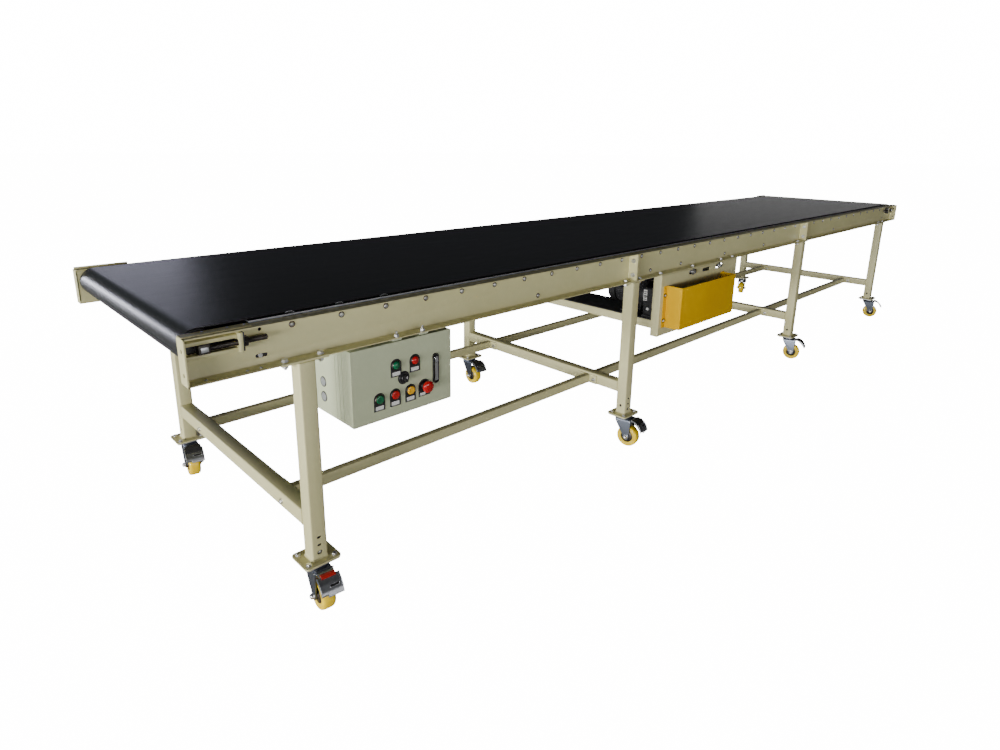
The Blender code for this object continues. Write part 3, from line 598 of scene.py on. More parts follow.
# ------------------------------------------------------------------ legs and ties
def leg_frame(number):
    centre, label = LEG_X[number], f"leg_{number + 1}"
    painted, zinc, bolts, dark, heads = [], [], [], [], []
    for side in (-1, 1):
        y = side * LEG_Y
        cuts = [prism(centred(centre, y, 22, 22, 2), "z", 160, 765)]
        for z, w, h in ((229, 14, 7), (204, 14, 7), (179, 18, 12)):
            cuts.append(prism(centred(centre, z, w / 2, h / 2, h / 2 - 0.1, 5), "y", side * 550, side * 566))
        if (side, number) != (-1, 0):
            cuts.append(bar("x", centre - 30, centre - 20, y, 195, 6, 20))
        painted.append(fuse([prism(centred(centre, y, 25, 25, 5), "z", 156.5, 768)], cuts))
        painted.append(prism(centred(centre, side * 534, 70, 22, 3), "z", 767.7, 772.6))
        painted.append(prism(centred(centre, y, 57.5, 50, 12, 5), "z", 152.3, 157.5))
        # Painted shade: black sheets inside the post, behind its slots and its side hole, stand in for the
        # dark inside the tube.
        dark.append(block(centre - 20, centre + 20, side * 552, side * 555.5, 168, 238))
        dark.append(block(centre - 20.5, centre - 17, y - 12, y + 12, 180, 210))
        ring = [(0, 141.8), (29, 141.8), (32, 143.2), (32, 146), (34, 148), (0, 148)]
        zinc.append(prism(centred(centre, y, 55, 47.5, 9, 5), "z", 147.6, 152))
        zinc.append(lathe(ring, (centre, y, 0), UP, 36))
        bolts += hex_bolt((centre + 1, side * 555.5, 179), (0, side, 0), 9, 2.5)
        for x_bolt in (centre - 41, centre + 41):
            for y_bolt in (y - 33, y + 33):
                bolts += hex_bolt((x_bolt, y_bolt, 157.5), UP, 13, 5, 8.5)
                bolts.append(bar("z", 147.5, 141.5, x_bolt, y_bolt, 4, 14, 0.6))
        # Fillet welds round the foot of the post and beside the crossbar.
        for sign in (-1, 1):
            for axis, middle, across in (("y", centre, y), ("x", y, centre)):
                wedge = [(middle + sign * 24.5, 157), (middle + sign * 29, 157), (middle + sign * 24.5, 161.5)]
                painted.append(prism(wedge, axis, across - 22, across + 22))
            x_in, x_out = centre + sign * 20, centre + sign * 25.6
            bead = [(x_in, side * 510.5), (x_out, side * 510.5), (x_out, side * 506)]
            painted.append(prism(bead, "z", 257, 303))
        for facing in (-1, 1):
            tied = 0 <= number + (facing - 1) // 2 < 3
            reach, head = (31, 6) if tied else (25, 5.5)
            at = (centre + facing * reach, side * TIE_Y - 38, TIE_Z)
            heads += hex_bolt(at, (facing, 0, 0), 13, head, 9)
    painted.append(prism(rounded(centre - 25, centre + 25, *CROSSBAR_Z, 5), "y", -510.4, 510.4))
    piece(label, painted, CREAM, replaces=f"leg_frame_{number + 1}")
    piece(label + "_castor_plates", zinc, ZINC)
    piece(label + "_bolts", bolts, BOLT)
    # Painted shade behind the post's slots and side hole.
    piece(label + "_slot_shade", dark, BLACK)
    piece(label + "_tie_bolts", heads, BOLT)


def tie_bar(place, side, bay):
    x0, x1 = LEG_X[bay] + 25 + GAP, LEG_X[bay + 1] - 25 - GAP
    y = side * TIE_Y
    shapes = [prism(centred(y, TIE_Z, 15, 20, 4), "x", x0 + 1, x1 - 1)]
    for x, inward in ((x0, 1), (x1, -1)):
        plate = prism(centred(y, TIE_Z, 55, 20, 2, 2), "x", x, x + inward * 5)
        shapes.append(fuse([plate], [bar("x", x - 8, x + 8, y - 38, TIE_Z, 4.5, 16)]))
    piece(f"tie_{place}_{bay + 1}", shapes, CREAM, replaces=f"tie_bar_{place}_{bay + 1}")


for number in range(4):
    leg_frame(number)
for place, side in SIDES:
    for bay in range(3):
        tie_bar(place, side, bay)


# ------------------------------------------------------------------ castors, drawn with the trail along +X
def wheel_ring(profile, side=1, n=36):
    return lathe(profile, (TRAIL, 0, WHEEL_R), (0, side, 0), n)


def both_ways(half):
    """A profile closed by its own mirror image."""
    return half + [(r, -h) for r, h in half[::-1] if h]


def fork():
    """Pressed fork with rounded shoulders, and the swivel race on top."""
    outer = [(-LEG_OUT, 60), (-LEG_OUT, 129), (-23, 138), (23, 138), (LEG_OUT, 129), (LEG_OUT, 60)]
    inner = [(LEG_IN, 60), (LEG_IN, 127), (20, 133), (-20, 133), (-LEG_IN, 127), (-LEG_IN, 60)]
    section = [(y, z if z > 61 else 30) for y, z in softened(outer + inner, 5, 3)]
    leg = [(-27, 141), (42, 141), (52, 134), (52, 124)] + arc(TRAIL, WHEEL_R, 14, 8, -188, 10) + [(-21, 120)]
    trimmed = fuse([prism(section, "x", -34, 60)], (), [prism(leg, "y", -36, 36)])
    race = [(0, 137), (30, 137), (31, 138.5), (31, 140.4), (29, 141), (0, 141)]
    return [trimmed, lathe(race, (0, 0, 0), UP, 32)]


def axle():
    """Axle with a domed nut at each end, and the kingpin nut."""
    dome = [(0, 0), (11, 0), (11, 1.6), (8.8, 1.8), (8.8, 6), (7.6, 9), (5, 11), (0, 11.8)]
    nuts = [lathe(dome, (TRAIL, y * LEG_OUT, WHEEL_R), (0, y, 0), 28) for y in (-1, 1)]
    bolt = bar("y", -LEG_OUT - 2, LEG_OUT + 2, TRAIL, WHEEL_R, 4.9, 16)
    return [bolt, *nuts, *hex_bolt((0, 0, 133), DOWN, 16, 5)]


def pedal():
    """Pressed tread plate with a notch in its lip, and the brake shoe."""
    top = [(50, 134), (57, 137), (74, 133), (92, 120), (106, 102), (113, 86)]
    strip = top + [(108, 84), (101, 99), (88, 115), (71, 128), (50, 129)]
    body = prism(softened(strip, 5, 3), "y", -PEDAL_HALF, PEDAL_HALF)
    wide = prism(softened(strip[2:10], 3, 3), "y", -PEDAL_WIDE, PEDAL_WIDE)
    hinge = bar("y", -PEDAL_HALF, PEDAL_HALF, PEDAL_X, PEDAL_Z, 5, 20)
    shoe = prism([(44, 131), (51, 131), (45.5, 101.6), (38.5, 102.8)], "y", -10, 10)
    bore = bar("y", -LEG_IN, LEG_IN, PEDAL_X, PEDAL_Z, 3.1, 16)
    return [fuse([hinge, body, wide, shoe], [bore, block(106, 120, -40, -14, 78, 95)])]


def pedal_edges():
    """Turned-up edges down both sides of the tread plate, in brighter metal as a painted highlight."""
    band = softened([(75, 132), (92, 119), (105, 102), (107.4, 103.2), (93.6, 122), (75.6, 135)], 1.5, 2)
    return [prism(band, "y", y, y + 2.2) for y in (-PEDAL_WIDE - 0.2, PEDAL_WIDE - 2)]


def on_tread_plate(shape):
    """Turns a shape, drawn facing +X at the origin, onto the steep face of the tread plate."""
    out = Vector((18, 0, 14)).normalized()
    turn = Matrix((out, TO_FAR, (-out.z, 0, out.x))).transposed().to_4x4()
    shape.transform(Matrix.Translation((98.7, 0, 111.4)) @ turn)
    return [shape]


def pedal_pad():
    """Black ribbed pad over the upper half of a tread plate."""
    outline = [(60, 136.4), (73.4, 133.1), (91, 120.4), (92.4, 122.2), (74.6, 135.2), (60.4, 138.4)]
    shapes = [prism(softened(outline, 1, 2), "y", -30, 30)]
    for x, z in ((78, 131.4), (83, 127.8), (88, 124.2)):
        rib = prism([(-1.1, 0.6), (1.1, 0.6), (1.1, 2.6), (-1.1, 2.6)], "y", -27, 27)
        rib.transform(Matrix.Translation((x, 0, z)) @ Matrix.Rotation(math.radians(36), 4, "Y"))
        shapes.append(rib)
    return shapes


TREAD_SIDE = [(38, 21.6), (41, WHEEL_HALF), (44.2, 21), (46.6, 19), (48.3, 16), (49.3, 12), (49.9, 6)]
TREAD_PROFILE = both_ways(TREAD_SIDE + [(WHEEL_R, 0)]) + [(37, -17), (37, 17)]
HUB_SIDE = [(37.5, 17.5), (37.5, 20.5), (35, 21), (31, 18.5), (28.5, 16.5), (5.3, 16)]
DISH = [(5.4, 16.2), (27.5, 16.2), (27.5, 18.4), (26, 19.4), (16, 21), (13, 25), (5.4, 25)]
PIN = bar("y", -LEG_OUT - 1, LEG_OUT + 1, PEDAL_X, PEDAL_Z, 2.5, 14)
# Painted highlight: the slot's rim is brighter metal than the tread plate, so its edge looks lit.
SLOT_RIM = fuse([prism(centred(10, 0, 15.6, 4.6, 4.5, 5), "x", 0, 1.1)],
                [prism(centred(10, 0, 14.1, 3.3, 3.2, 5), "x", -1, 3)])
GRIP = softened([(66, 134.6), (73.4, 133.0), (81, 127.8), (82.4, 129.4), (74.2, 135.4), (66.6, 136.8)], 1, 2)
GRIPS = {"red": (PEDAL_RED, [prism(GRIP, "y", -20, 23)]), "black": (RUBBER, pedal_pad())}
# Name, shapes, material, what it rides on, and the CAD piece it replaces, if any.
WHEEL_PARTS = (
    ("fork", fork(), FORK, "fork", "castor_fork"),
    ("axle", axle(), BOLT, "fork"),
    ("tread", [wheel_ring(TREAD_PROFILE, 1, 48)], TREAD, "wheel", "castor_wheel"),
    ("hub", [wheel_ring(both_ways(HUB_SIDE), 1, 40)], HUB, "wheel"),
    ("thread_guards", [wheel_ring(DISH, -1), wheel_ring(DISH)], OXIDE, "wheel"),
)
PEDAL_PARTS = (
    ("pin", [PIN], BOLT, "fork"),
    ("pedal", pedal(), PEDAL_GREY, "pedal", "castor_pedal"),
    ("pedal_edges", pedal_edges(), ZINC, "pedal"),
    # Painted shade: a black plate on the tread plate's face stands in for the dark of its slot.
    ("pedal_slot", on_tread_plate(prism(centred(10, 0, 14, 3.2, 3.1, 5), "x", 0, 0.9)), BLACK, "pedal"),
    ("pedal_slot_rim", on_tread_plate(SLOT_RIM), ZINC, "pedal"),
)
UNUSUAL_SLOTS = {"thread_guards": "dark_zinc", "grip": "grey_plastic"}
for place, side in SIDES:
    for number in range(4):
        label = f"{place}_{number + 1}"
        spot = Matrix.Translation((LEG_X[number], side * LEG_Y, 0))
        spot = spot @ Matrix.Rotation(math.radians(HEADINGS[place][number]), 4, "Z")
        grip, shapes = GRIPS["red" if label == "near_1" else "black"]
        pedal_parts = PEDAL_PARTS + (("grip", shapes, grip, "pedal"),)
        for suffix, shapes, material, body, *cad in WHEEL_PARTS + (() if label == "far_3" else pedal_parts):
            replaces = f"{cad[0]}_{label}" if cad else None
            slot = UNUSUAL_SLOTS.get(suffix)
            piece(f"castor_{label}_{suffix}", shapes, material, f"{body}_{label}", replaces, spot)


# ------------------------------------------------------------------ belt, deck and rollers
def belt_shape():
    """Endless loop: over the deck, round both noses, and down round the drum between the snubs."""
    loops = []
    for outward in (BELT_T, 0):
        nose, snub, drum = NOSE_R - BELT_T + outward, SNUB_R + GAP + BELT_T - outward, DRUM_R + GAP + outward
        loops.append(
            arc(-NOSE_X, NOSE_Z, nose, 90, 270, 32)
            + arc(DRUM_X - SNUB_DX, SNUB_Z, snub, 90, 0, 14)
            + arc(DRUM_X, DRUM_Z, drum, 180, 360, 32)
            + arc(DRUM_X + SNUB_DX, SNUB_Z, snub, 180, 90, 14)
            + arc(NOSE_X, NOSE_Z, nose, -90, 90, 32)
        )
    outer, inner = loops
    edge = BELT_HALF - 0.8
    bm = bmesh.new()
    around = []
    for loop, y in ((outer, -edge), (outer, -BELT_HALF), (inner, -BELT_HALF),
                    (inner, BELT_HALF), (outer, BELT_HALF), (outer, edge)):
        around.append([bm.verts.new((x, y, z)) for x, z in loop])
    for i in range(len(outer)):
        j = (i + 1) % len(outer)
        for a, b in zip(around, around[1:] + around[:1]):
            bm.faces.new((a[i], a[j], b[j], b[i]))
    return as_mesh(bm)


def roller_tube(r, bore, half, wall, disc, x, z, n=64):
    """Tube with a chamfered, recessed disc at each end."""
    outside = [(r, half - 0.8), (r - 0.8, half), (r - wall, half), (r - wall - 3, half - 5),
               (r - wall - 6, half - 3), (bore, half - 3), (bore, half - disc)]
    profile = [(p, -h) for p, h in outside[::-1]] + outside
    profile += [(r - wall, half - disc), (r - wall, disc - half)]
    return lathe(profile, (x, 0, z), TO_FAR, n)


def ring(r_in, r_out, height, at, side, n=32):
    """A flat ring standing on a face that looks along Y."""
    return lathe([(r_in, 0), (r_in, height), (r_out, height), (r_out, 0)], at, (0, side, 0), n)


piece("belt_loop", [belt_shape()], BELT, replaces="belt", sharp=25)
NODES["slider_bed"].data.materials.clear()
NODES["slider_bed"].data.materials.append(GALVANISED)

for name, end in ENDS:
    x = end * NOSE_X
    spin, takeup = f"{name}_roller_tube", f"{name}_takeup_axle"
    races, seals, caps, blocks, screws, nuts = [], [], [], [], [], []
    shaft = [bar("y", -538, 538, x, NOSE_Z, 10, 32, 1)]
    cap = [(12, 0), (44.3, 0), (44.3, -4.6), (45.1, -4.6), (45.1, 0.8), (44.3, 1.6), (12, 1.6)]
    hexagon = [(8.6, 0), (13.2, 0), (14, 0.8), (14, 9.2), (13.2, 10), (8.6, 10)]
    for side in (-1, 1):
        face, y = (x, side * 502.1, NOSE_Z), side * SCREW_Y
        races += [ring(10.2, 13.2, 1.4, face, side), ring(18, 22, 1.4, face, side)]
        seals.append(ring(13.2, 18, 0.9, face, side))
        caps.append(lathe(cap, (x, side * 505.2, NOSE_Z), (0, side, 0), 64))
        blocks.append(soft_block(x - 14, x + 14, side * 511, side * 541, NOSE_Z - 11.7, NOSE_Z + 11.7, 1.2))
        shaft.append(soft_block(x - 9, x + 9, side * 540.5, side * 543.4, NOSE_Z - 6.5, NOSE_Z + 6.5, 0.8))
        screws.append(screw_thread((x - end * 13, y, NOSE_Z), (end * (HALF - 213), y, NOSE_Z), 7.4))
        nuts.append(lathe(hexagon, (end * (HALF - 156) - 5, y, NOSE_Z), (1, 0, 0), 6))
    tube = roller_tube(44.2, 10.4, ROLLER_HALF, 3.5, 14, x, NOSE_Z)
    piece(f"{name}_roller_shell", [tube], STEEL, spin, f"{name}_roller")
    piece(f"{name}_roller_bearings", races, CHROME, spin)
    piece(f"{name}_roller_seals", seals, RUBBER, spin)
    piece(f"{name}_roller_caps", caps, BLACK, spin)
    piece(f"{name}_axle", shaft, STEEL, takeup, f"{name}_takeup")
    piece(f"{name}_axle_blocks", blocks, OXIDE, takeup)
    piece(f"{name}_tension_screws", screws, OXIDE, takeup)
    piece(f"{name}_tension_nuts", nuts, OXIDE)

for name, end in ENDS:
    x = DRUM_X + end * SNUB_DX
    tube = roller_tube(SNUB_R, 9.2, ROLLER_HALF, 4, 10, x, SNUB_Z)
    shaft = bar("y", -572, 572, x, SNUB_Z, 9, 28, 1.2)
    piece(f"snub_{name}_drum", [tube, shaft], STEEL, f"snub_{name}", f"snub_roller_{name}")
washer = [(9.4, 0), (9.4, 2), (15, 2), (15.5, 1.5), (15.5, 0)]
for name, end in ENDS:
    x = DRUM_X + end * SNUB_DX
    washers = [lathe(washer, (x, side * 560.3, SNUB_Z), (0, side, 0), 28) for side in (-1, 1)]
    piece(f"snub_{name}_washers", washers, BOLT)


# ------------------------------------------------------------------ centre drive
def drive_frame():
    x0, x1 = DRIVE_X
    low, top = DRIVE_BOTTOM, DRIVE_TOP
    shapes = []
    # Folded lips round the plate: outer radius 5, 4 mm sheet.
    fold = [(5 - p, 5 - q) for p, q in arc(0, 0, 5, 0, 90, 4)] + [(40, 0), (40, 4), (4, 4)]
    for side in (-1, 1):
        y = side * HALF_WIDTH
        y_in, y_out = y - side * 6, y + side * 6
        plate = block(x0 + 3, x1 - 3, y, y - side * 4, low + 3, top - 3)
        cuts = [prism(centred(DRUM_X, 751, 38, 9, 8.5, 6), "y", y_in, y_out)]
        for x in (DRUM_X - SNUB_DX, DRUM_X + SNUB_DX):
            cuts.append(prism(centred(x, SNUB_Z, 35, 11, 10.5, 6), "y", y_in, y_out))
        cuts.append(bar("y", y_in, y_out, DRUM_X, DRUM_Z, 17, 40))
        if side < 0:
            cuts.append(bar("y", y_in, y_out, SHAFT_X, SHAFT_Z, 14, 32))
        shapes.append(fuse([plate], cuts))
        for z, up in ((low, 1), (top, -1)):
            shapes.append(prism([(y - side * p, z + up * q) for p, q in fold], "x", x0 + 0.5, x1 - 0.5))
        for x, inward in ((x0, 1), (x1, -1)):
            shapes.append(prism([(x + inward * q, y - side * p) for p, q in fold], "z", low + 0.5, top - 0.5))
    for x in (x0 + 1, x1 - 50):
        shapes.append(prism(rounded(x, x + 49, 513, 553, 4), "y", -556, 556))
    piece("drive_side_plates", shapes, CREAM, replaces="drive_frame")
    piece("motor_tray", [prism(rounded(x0 + 1, -505, -556, 13, 6), "z", 553.2, 557)], BLACK_PAINT)


def drum_bearing(name, side):
    """Four-bolt flange bearing on a side plate."""
    x, y, z, inner, bore = DRUM_X, side * 555.8, DRUM_Z, -side, 15.3
    plate = prism(centred(x, z, 34, 34, 12), "y", y, y + inner * 9)
    profile = [(bore, 0), (bore, 22), (bore + 8, 22), (bore + 14, 14), (bore + 18, 8), (bore + 18, 0)]
    plate = fuse([plate], [bar("y", y - 12, y + 12, x, z, bore, 32)])
    piece(f"drum_bearing_{name}", [plate, lathe(profile, (x, y, z), (0, inner, 0), 40)], BLACK_PAINT)
    heads = []
    for x_bolt in (x - 25, x + 25):
        for z_bolt in (z - 25, z + 25):
            heads += hex_bolt((x_bolt, y + inner * 9, z_bolt), (0, inner, 0), 13, 5.5, 8)
            heads += button_head((x_bolt, side * 560, z_bolt), (0, side, 0), 5.5, 2.8)
    piece(f"drum_bearing_{name}_bolts", heads, BOLT)


def gearmotor():
    x, z = MOTOR_X, MOTOR_Z
    casting = [soft_block(-706, -515, -553, -455, 563, 700, 9, 4)]
    casting.append(soft_block(-714, -507, -550, -458, 557.4, 567, 2))
    casting.append(bar("y", -457, -438, x, z, 66, 48, 3))
    for rib in (590, 612, 634, 656, 678):
        casting.append(soft_block(-708, -513, -545, -463, rib - 1.5, rib + 1.5, 1.2))
    flange = [(14, 0), (14, 3.6), (30, 3.6), (32, 2), (32, 0)]
    casting.append(lathe(flange, (SHAFT_X, -552.5, SHAFT_Z), TO_NEAR, 40))
    piece("gearbox", casting, BLACK_PAINT, replaces="gearmotor")
    body, fins = [bar("y", -440, -284, x, z, 52, 48)], 36
    for k in range(fins):
        fin = soft_block(50, 58.5, -432, -290, -0.9, 0.9, 0.6, 1)
        fin.transform(Matrix.Translation((x, 0, z)) @ Matrix.Rotation(2 * math.pi * k / fins, 4, "Y"))
        body.append(fin)
    for foot in (x - 28, x + 28):
        body.append(soft_block(foot - 20, foot + 20, -396, -318, 557.4, 564))
        body.append(soft_block(foot - 5, foot + 5, -390, -324, 562, 620))
    piece("motor_body", body, BLACK_PAINT)
    cowl = [(0, 0), (56, 0), (61, 3), (61.8, 8), (61.8, 40), (59, 40), (58, 30), (0, 30)]
    shapes = [lathe(cowl, (x, -246, z), TO_NEAR, 48)]
    for r in (14, 24, 34, 44):
        grille = [(r - 1.4, -1.6), (r + 1.4, -1.6), (r + 1.4, 0.5), (r - 1.4, 0.5)]
        shapes.append(lathe(grille, (x, -246, z), TO_NEAR, 40))
    piece("motor_cowl", shapes, BLACK)
    shapes = [soft_block(-680, -600, -400, -320, 702, 737, 4, 3), soft_block(-684, -596, -404, -316, 727, 731)]
    piece("terminal_box", shapes + [bar("x", -681, -694, -360, 716, 9, 20, 1)], BLACK_PAINT)
    labels = [soft_block(-706.9, -705.9, -478, -458, 634, 688, 0.4, 1)]
    labels.append(soft_block(-706.9, -705.9, -490, -478, 590, 604, 0.4, 1))
    piece("motor_plate_label", labels, WHITE)
    marks = [soft_block(-707.2, -706.6, -475, -461, 640 + 9 * k, 644 + 9 * k, 0.2, 1) for k in range(5)]
    piece("motor_plate_lines", marks, BLACK)


def pitch_radius(teeth):
    return PITCH / 2 / math.sin(math.pi / teeth)


def sprocket(x, z, teeth, bore, hub):
    """Toothed disc with a round seat for each chain roller, on a hub with a set screw."""
    r, outline = pitch_radius(teeth), []
    for k in range(teeth):
        middle = 2 * math.pi * k / teeth
        cx, cz = x + r * math.cos(middle), z + r * math.sin(middle)
        for step in range(-3, 4):
            a = middle + math.pi + step * math.radians(27)
            outline.append((cx + 6.2 * math.cos(a), cz + 6.2 * math.sin(a)))
        for a in (middle + math.pi / teeth - 0.018, middle + math.pi / teeth + 0.018):
            outline.append((x + (r + 4.0) * math.cos(a), z + (r + 4.0) * math.sin(a)))
    profile = [(bore, 604), (hub - 1.5, 604), (hub, 602.5), (hub, 580), (hub - 1, 579), (bore, 579)]
    return [prism(outline, "y", CHAIN_Y - 4, CHAIN_Y + 4), lathe(profile, (x, 0, z), TO_NEAR, 36),
            bar("z", z + hub - 1, z + hub + 2, x, -598, 3, 12)]


def chain():
    """Roller chain round the two sprockets: plates, pins and rollers at the chain pitch."""
    r_big, r_small = pitch_radius(DRUM_TEETH), pitch_radius(SHAFT_TEETH)
    lean = math.asin((r_big - r_small) / (DRUM_X - SHAFT_X))
    straight = (DRUM_X - SHAFT_X) * math.cos(lean)
    upper = math.pi / 2 + lean
    big = (DRUM_X, DRUM_Z, r_big, r_big * 2 * upper)
    small = (SHAFT_X, SHAFT_Z, r_small, r_small * 2 * (math.pi - upper))
    total = big[3] + small[3] + 2 * straight
    count = int(round(total / PITCH / 2)) * 2

    def on_rim(wheel, a):
        return wheel[0] + wheel[2] * math.cos(a), wheel[1] + wheel[2] * math.sin(a)

    def at(s):
        """The point s along the chain: upper run, big sprocket, lower run, small sprocket."""
        s %= total
        for wheel, after, turn in ((small, big, upper), (big, small, -upper)):
            if s < straight:
                (xa, za), (xb, zb), t = on_rim(wheel, turn), on_rim(after, turn), s / straight
                return xa + (xb - xa) * t, za + (zb - za) * t
            s -= straight
            if s < after[3] or after is small:
                return on_rim(after, turn - s / after[2])
            s -= after[3]

    shapes, step = [], total / count
    for k in range(count):
        (xa, za), (xb, zb) = at(k * step), at((k + 1) * step)
        half = math.hypot(xb - xa, zb - za) / 2
        outline = arc(2 * half, 0, 7, -90, 90, 4) + [(half, 5.2)] + arc(0, 0, 7, 90, 270, 4) + [(half, -5.2)]
        turn = Matrix.Rotation(-math.atan2(zb - za, xb - xa), 4, "Y")
        for y in (-6.6, 6.6) if k % 2 else (-8.4, 8.4):
            plate = prism(outline, "y", y - 0.8, y + 0.8)
            plate.transform(Matrix.Translation((xa, CHAIN_Y, za)) @ turn)
            shapes.append(plate)
        shapes.append(bar("y", CHAIN_Y - 10, CHAIN_Y + 10, xa, za, 2.8, 8))
        shapes.append(bar("y", CHAIN_Y - 5.6, CHAIN_Y + 5.6, xa, za, 5.6, 12))
    return shapes


def chain_guard():
    (x0, x1), (z0, z1) = GUARD_X, GUARD_Z
    back, front = -HALF_WIDTH - GAP, GUARD_FRONT
    outside = softened([(x0, back), (x0, front), (x1, front), (x1, back)], 4, 4)
    inside = softened([(x0 + 2, back + 4), (x0 + 2, front + 2), (x1 - 2, front + 2), (x1 - 2, back + 4)], 2, 3)
    shapes = [fuse([prism(outside, "z", z0, z1)], [prism(inside, "z", z0 + 2, z1 + 5)])]
    heads, washers = [], []
    for a, b, x in ((x0 - 26, x0 + 3, x0 - 13), (x1 - 3, x1 + 26, x1 + 13)):
        bolts = (z0 + 34, z1 - 44)
        tab = prism(rounded(a, b, z0, z1, 2, 2), "y", back - 2, back)
        shapes.append(fuse([tab], [bar("y", back - 5, back + 5, x, z, 5, 20) for z in bolts]))
        for z in bolts:
            washers.append(ring(0, 10, 1.2, (x, back - 2, z), -1, 24))
            heads += button_head((x, back - 3.2, z), TO_NEAR, 6.5, 4)
    piece("chain_cover", shapes, YELLOW, replaces="chain_guard")
    piece("chain_cover_washers", washers, OXIDE)
    piece("chain_cover_bolts", heads, BOLT)


drive_frame()
gearmotor()
for name, side in SIDES:
    drum_bearing(name, side)
shapes = [roller_tube(DRUM_R, 15.2, ROLLER_HALF, 6, 10, DRUM_X, DRUM_Z, 72)]
shapes.append(bar("y", -612, 575, DRUM_X, DRUM_Z, 15, 36, 1.5))
piece("drum_shell", shapes, STEEL, "drum", "drive_drum")
piece("drum_sprocket", sprocket(DRUM_X, DRUM_Z, DRUM_TEETH, 15, 27), CHAIN_STEEL, "drum")
shapes = sprocket(SHAFT_X, SHAFT_Z, SHAFT_TEETH, 12, 22)
shapes.append(bar("y", -480, -606, SHAFT_X, SHAFT_Z, 12, 28, 1.2))
piece("motor_output_sprocket", shapes, CHAIN_STEEL, "motor_output", "motor_sprocket")
piece("roller_chain", chain(), CHAIN_STEEL)
chain_guard()


# ------------------------------------------------------------------ control box
def box_outline(inset, top_inset, r, n=3):
    return rounded(BOX_X[0] + inset, BOX_X[1] - inset, BOX_Z[0] + inset, BOX_Z[1] - top_inset, r, n)


def control_box():
    (x0, x1), (z0, z1) = BOX_X, BOX_Z
    front, back = BOX_FRONT + 25, BOX_BACK
    shell = prism(box_outline(0.4, 1, 3), "y", front, back)
    cuts = [prism(box_outline(8, 6, 2, 2), "y", front - 5, back - 3)]
    for y in (front + 22, front + 42, front + 62):
        groove = prism(box_outline(-5, -5, 3), "y", y, y + 3)
        cuts.append(fuse([groove], [prism(box_outline(1.2, 2, 3), "y", y - 2, y + 5)]))
    shapes = [fuse([shell], cuts)]
    strap = [(front - 24, z1 + 1.5), (front - 24, 772.6), (front - 20, 772.6), (front + 30, 772.6),
             (front + 30, z1 - 4), (front + 2, z1 - 4), (front + 2, z1 + 1.5)]
    shapes += [prism(strap, "x", x - 15, x + 15) for x in (-2175, -2075)]
    piece("cabinet_shell", shapes, GREEN_GREY, replaces="control_box")
    back_plate = soft_block(x0 + 22, x1 - 22, back - 8, back - 5, z0 + 20, z1 - 20, 1)
    piece("cabinet_back_plate", [back_plate], GALVANISED)
    rails, devices, faces = [], [], []
    for z in (600, 690):
        rails.append(soft_block(x0 + 30, x1 - 30, back - 15, back - 9, z - 17, z + 17, 1))
        for x in [x0 + 52 + 48 * k for k in range(6)]:
            devices.append(soft_block(x - 20, x + 20, back - 78, back - 15.5, z - 34, z + 34, 2.5))
            faces.append(soft_block(x - 14, x + 14, back - 86, back - 78.5, z - 20, z + 20, 2))
    piece("cabinet_rails", rails, GALVANISED)
    piece("cabinet_devices", devices, WHITE)
    piece("cabinet_device_faces", faces, BLACK)
    dome = [(0, 0), (9, 0), (13.5, 0.2), (13.5, 1.4), (12, 2.6), (8, 3.0), (0, 2.4)]
    rim = [(13.8, 0), (17, 0), (16.4, 1.6), (13.8, 1.6)]
    for name, profile, material in (("hole_plugs", dome, PLUG_GREY), ("plug_rims", rim, BLACK)):
        shapes = [lathe(profile, (x0 + 0.6, PLUG_Y, z), (-1, 0, 0), 32) for z in PLUGS_Z]
        piece(f"cabinet_{name}", shapes, material)
    gasket = prism(box_outline(5, 3, 3), "y", front - 0.9, front - 0.1)
    gasket = fuse([gasket], [prism(box_outline(8, 6, 2, 2), "y", front - 5, front + 5)])
    piece("cabinet_gasket", [gasket], RUBBER)
    bolts = []
    for x in HANGERS_X:
        bolts.append(screw_thread((x, HANGER_Y, 767.9), (x, HANGER_Y, 794), 4, 1.4, 12))
        bolts += hex_bolt((x, HANGER_Y, FRAME_BOTTOM + SHEET), UP, 14, 7, 9)
    piece("cabinet_hanger_bolts", bolts, BOLT)


def hole(x, z, r):
    """Cutter through the door's face."""
    return bar("y", BOX_FRONT - 9, BOX_FRONT + 9, x, z, r, 36)


def bezel(x, z, r_out=BEZEL_R, r_in=CAP_HOLE, y=BOX_FRONT, depth=5):
    outline = [(r_in, 0.2), (r_in, depth), (r_in + 1, depth + 0.4), (r_out - 1.5, depth), (r_out, depth - 1.6)]
    return lathe(outline + [(r_out, 0.2)], (x, y, z), TO_NEAR, 40)


def legend_plate(x, z, r=19.5, drop=37):
    """Dark plate behind a control: round at the top, square at the foot."""
    return prism(arc(x, z, r, 0, 180, 14) + [(x - r, z - drop), (x + r, z - drop)], "y", *LEGEND_Y)


def door_label(x, z, half=14, drop=33.5, height=12):
    return prism(rounded(x - half, x + half, z - drop, z - drop + height, 1.5, 2), "y", *LABEL_Y)


def latch_outline(half, beyond, r, n):
    return rounded(LATCH_X - half, LATCH_X + half, LATCH_Z[0] - beyond, LATCH_Z[1] + beyond, r, n)


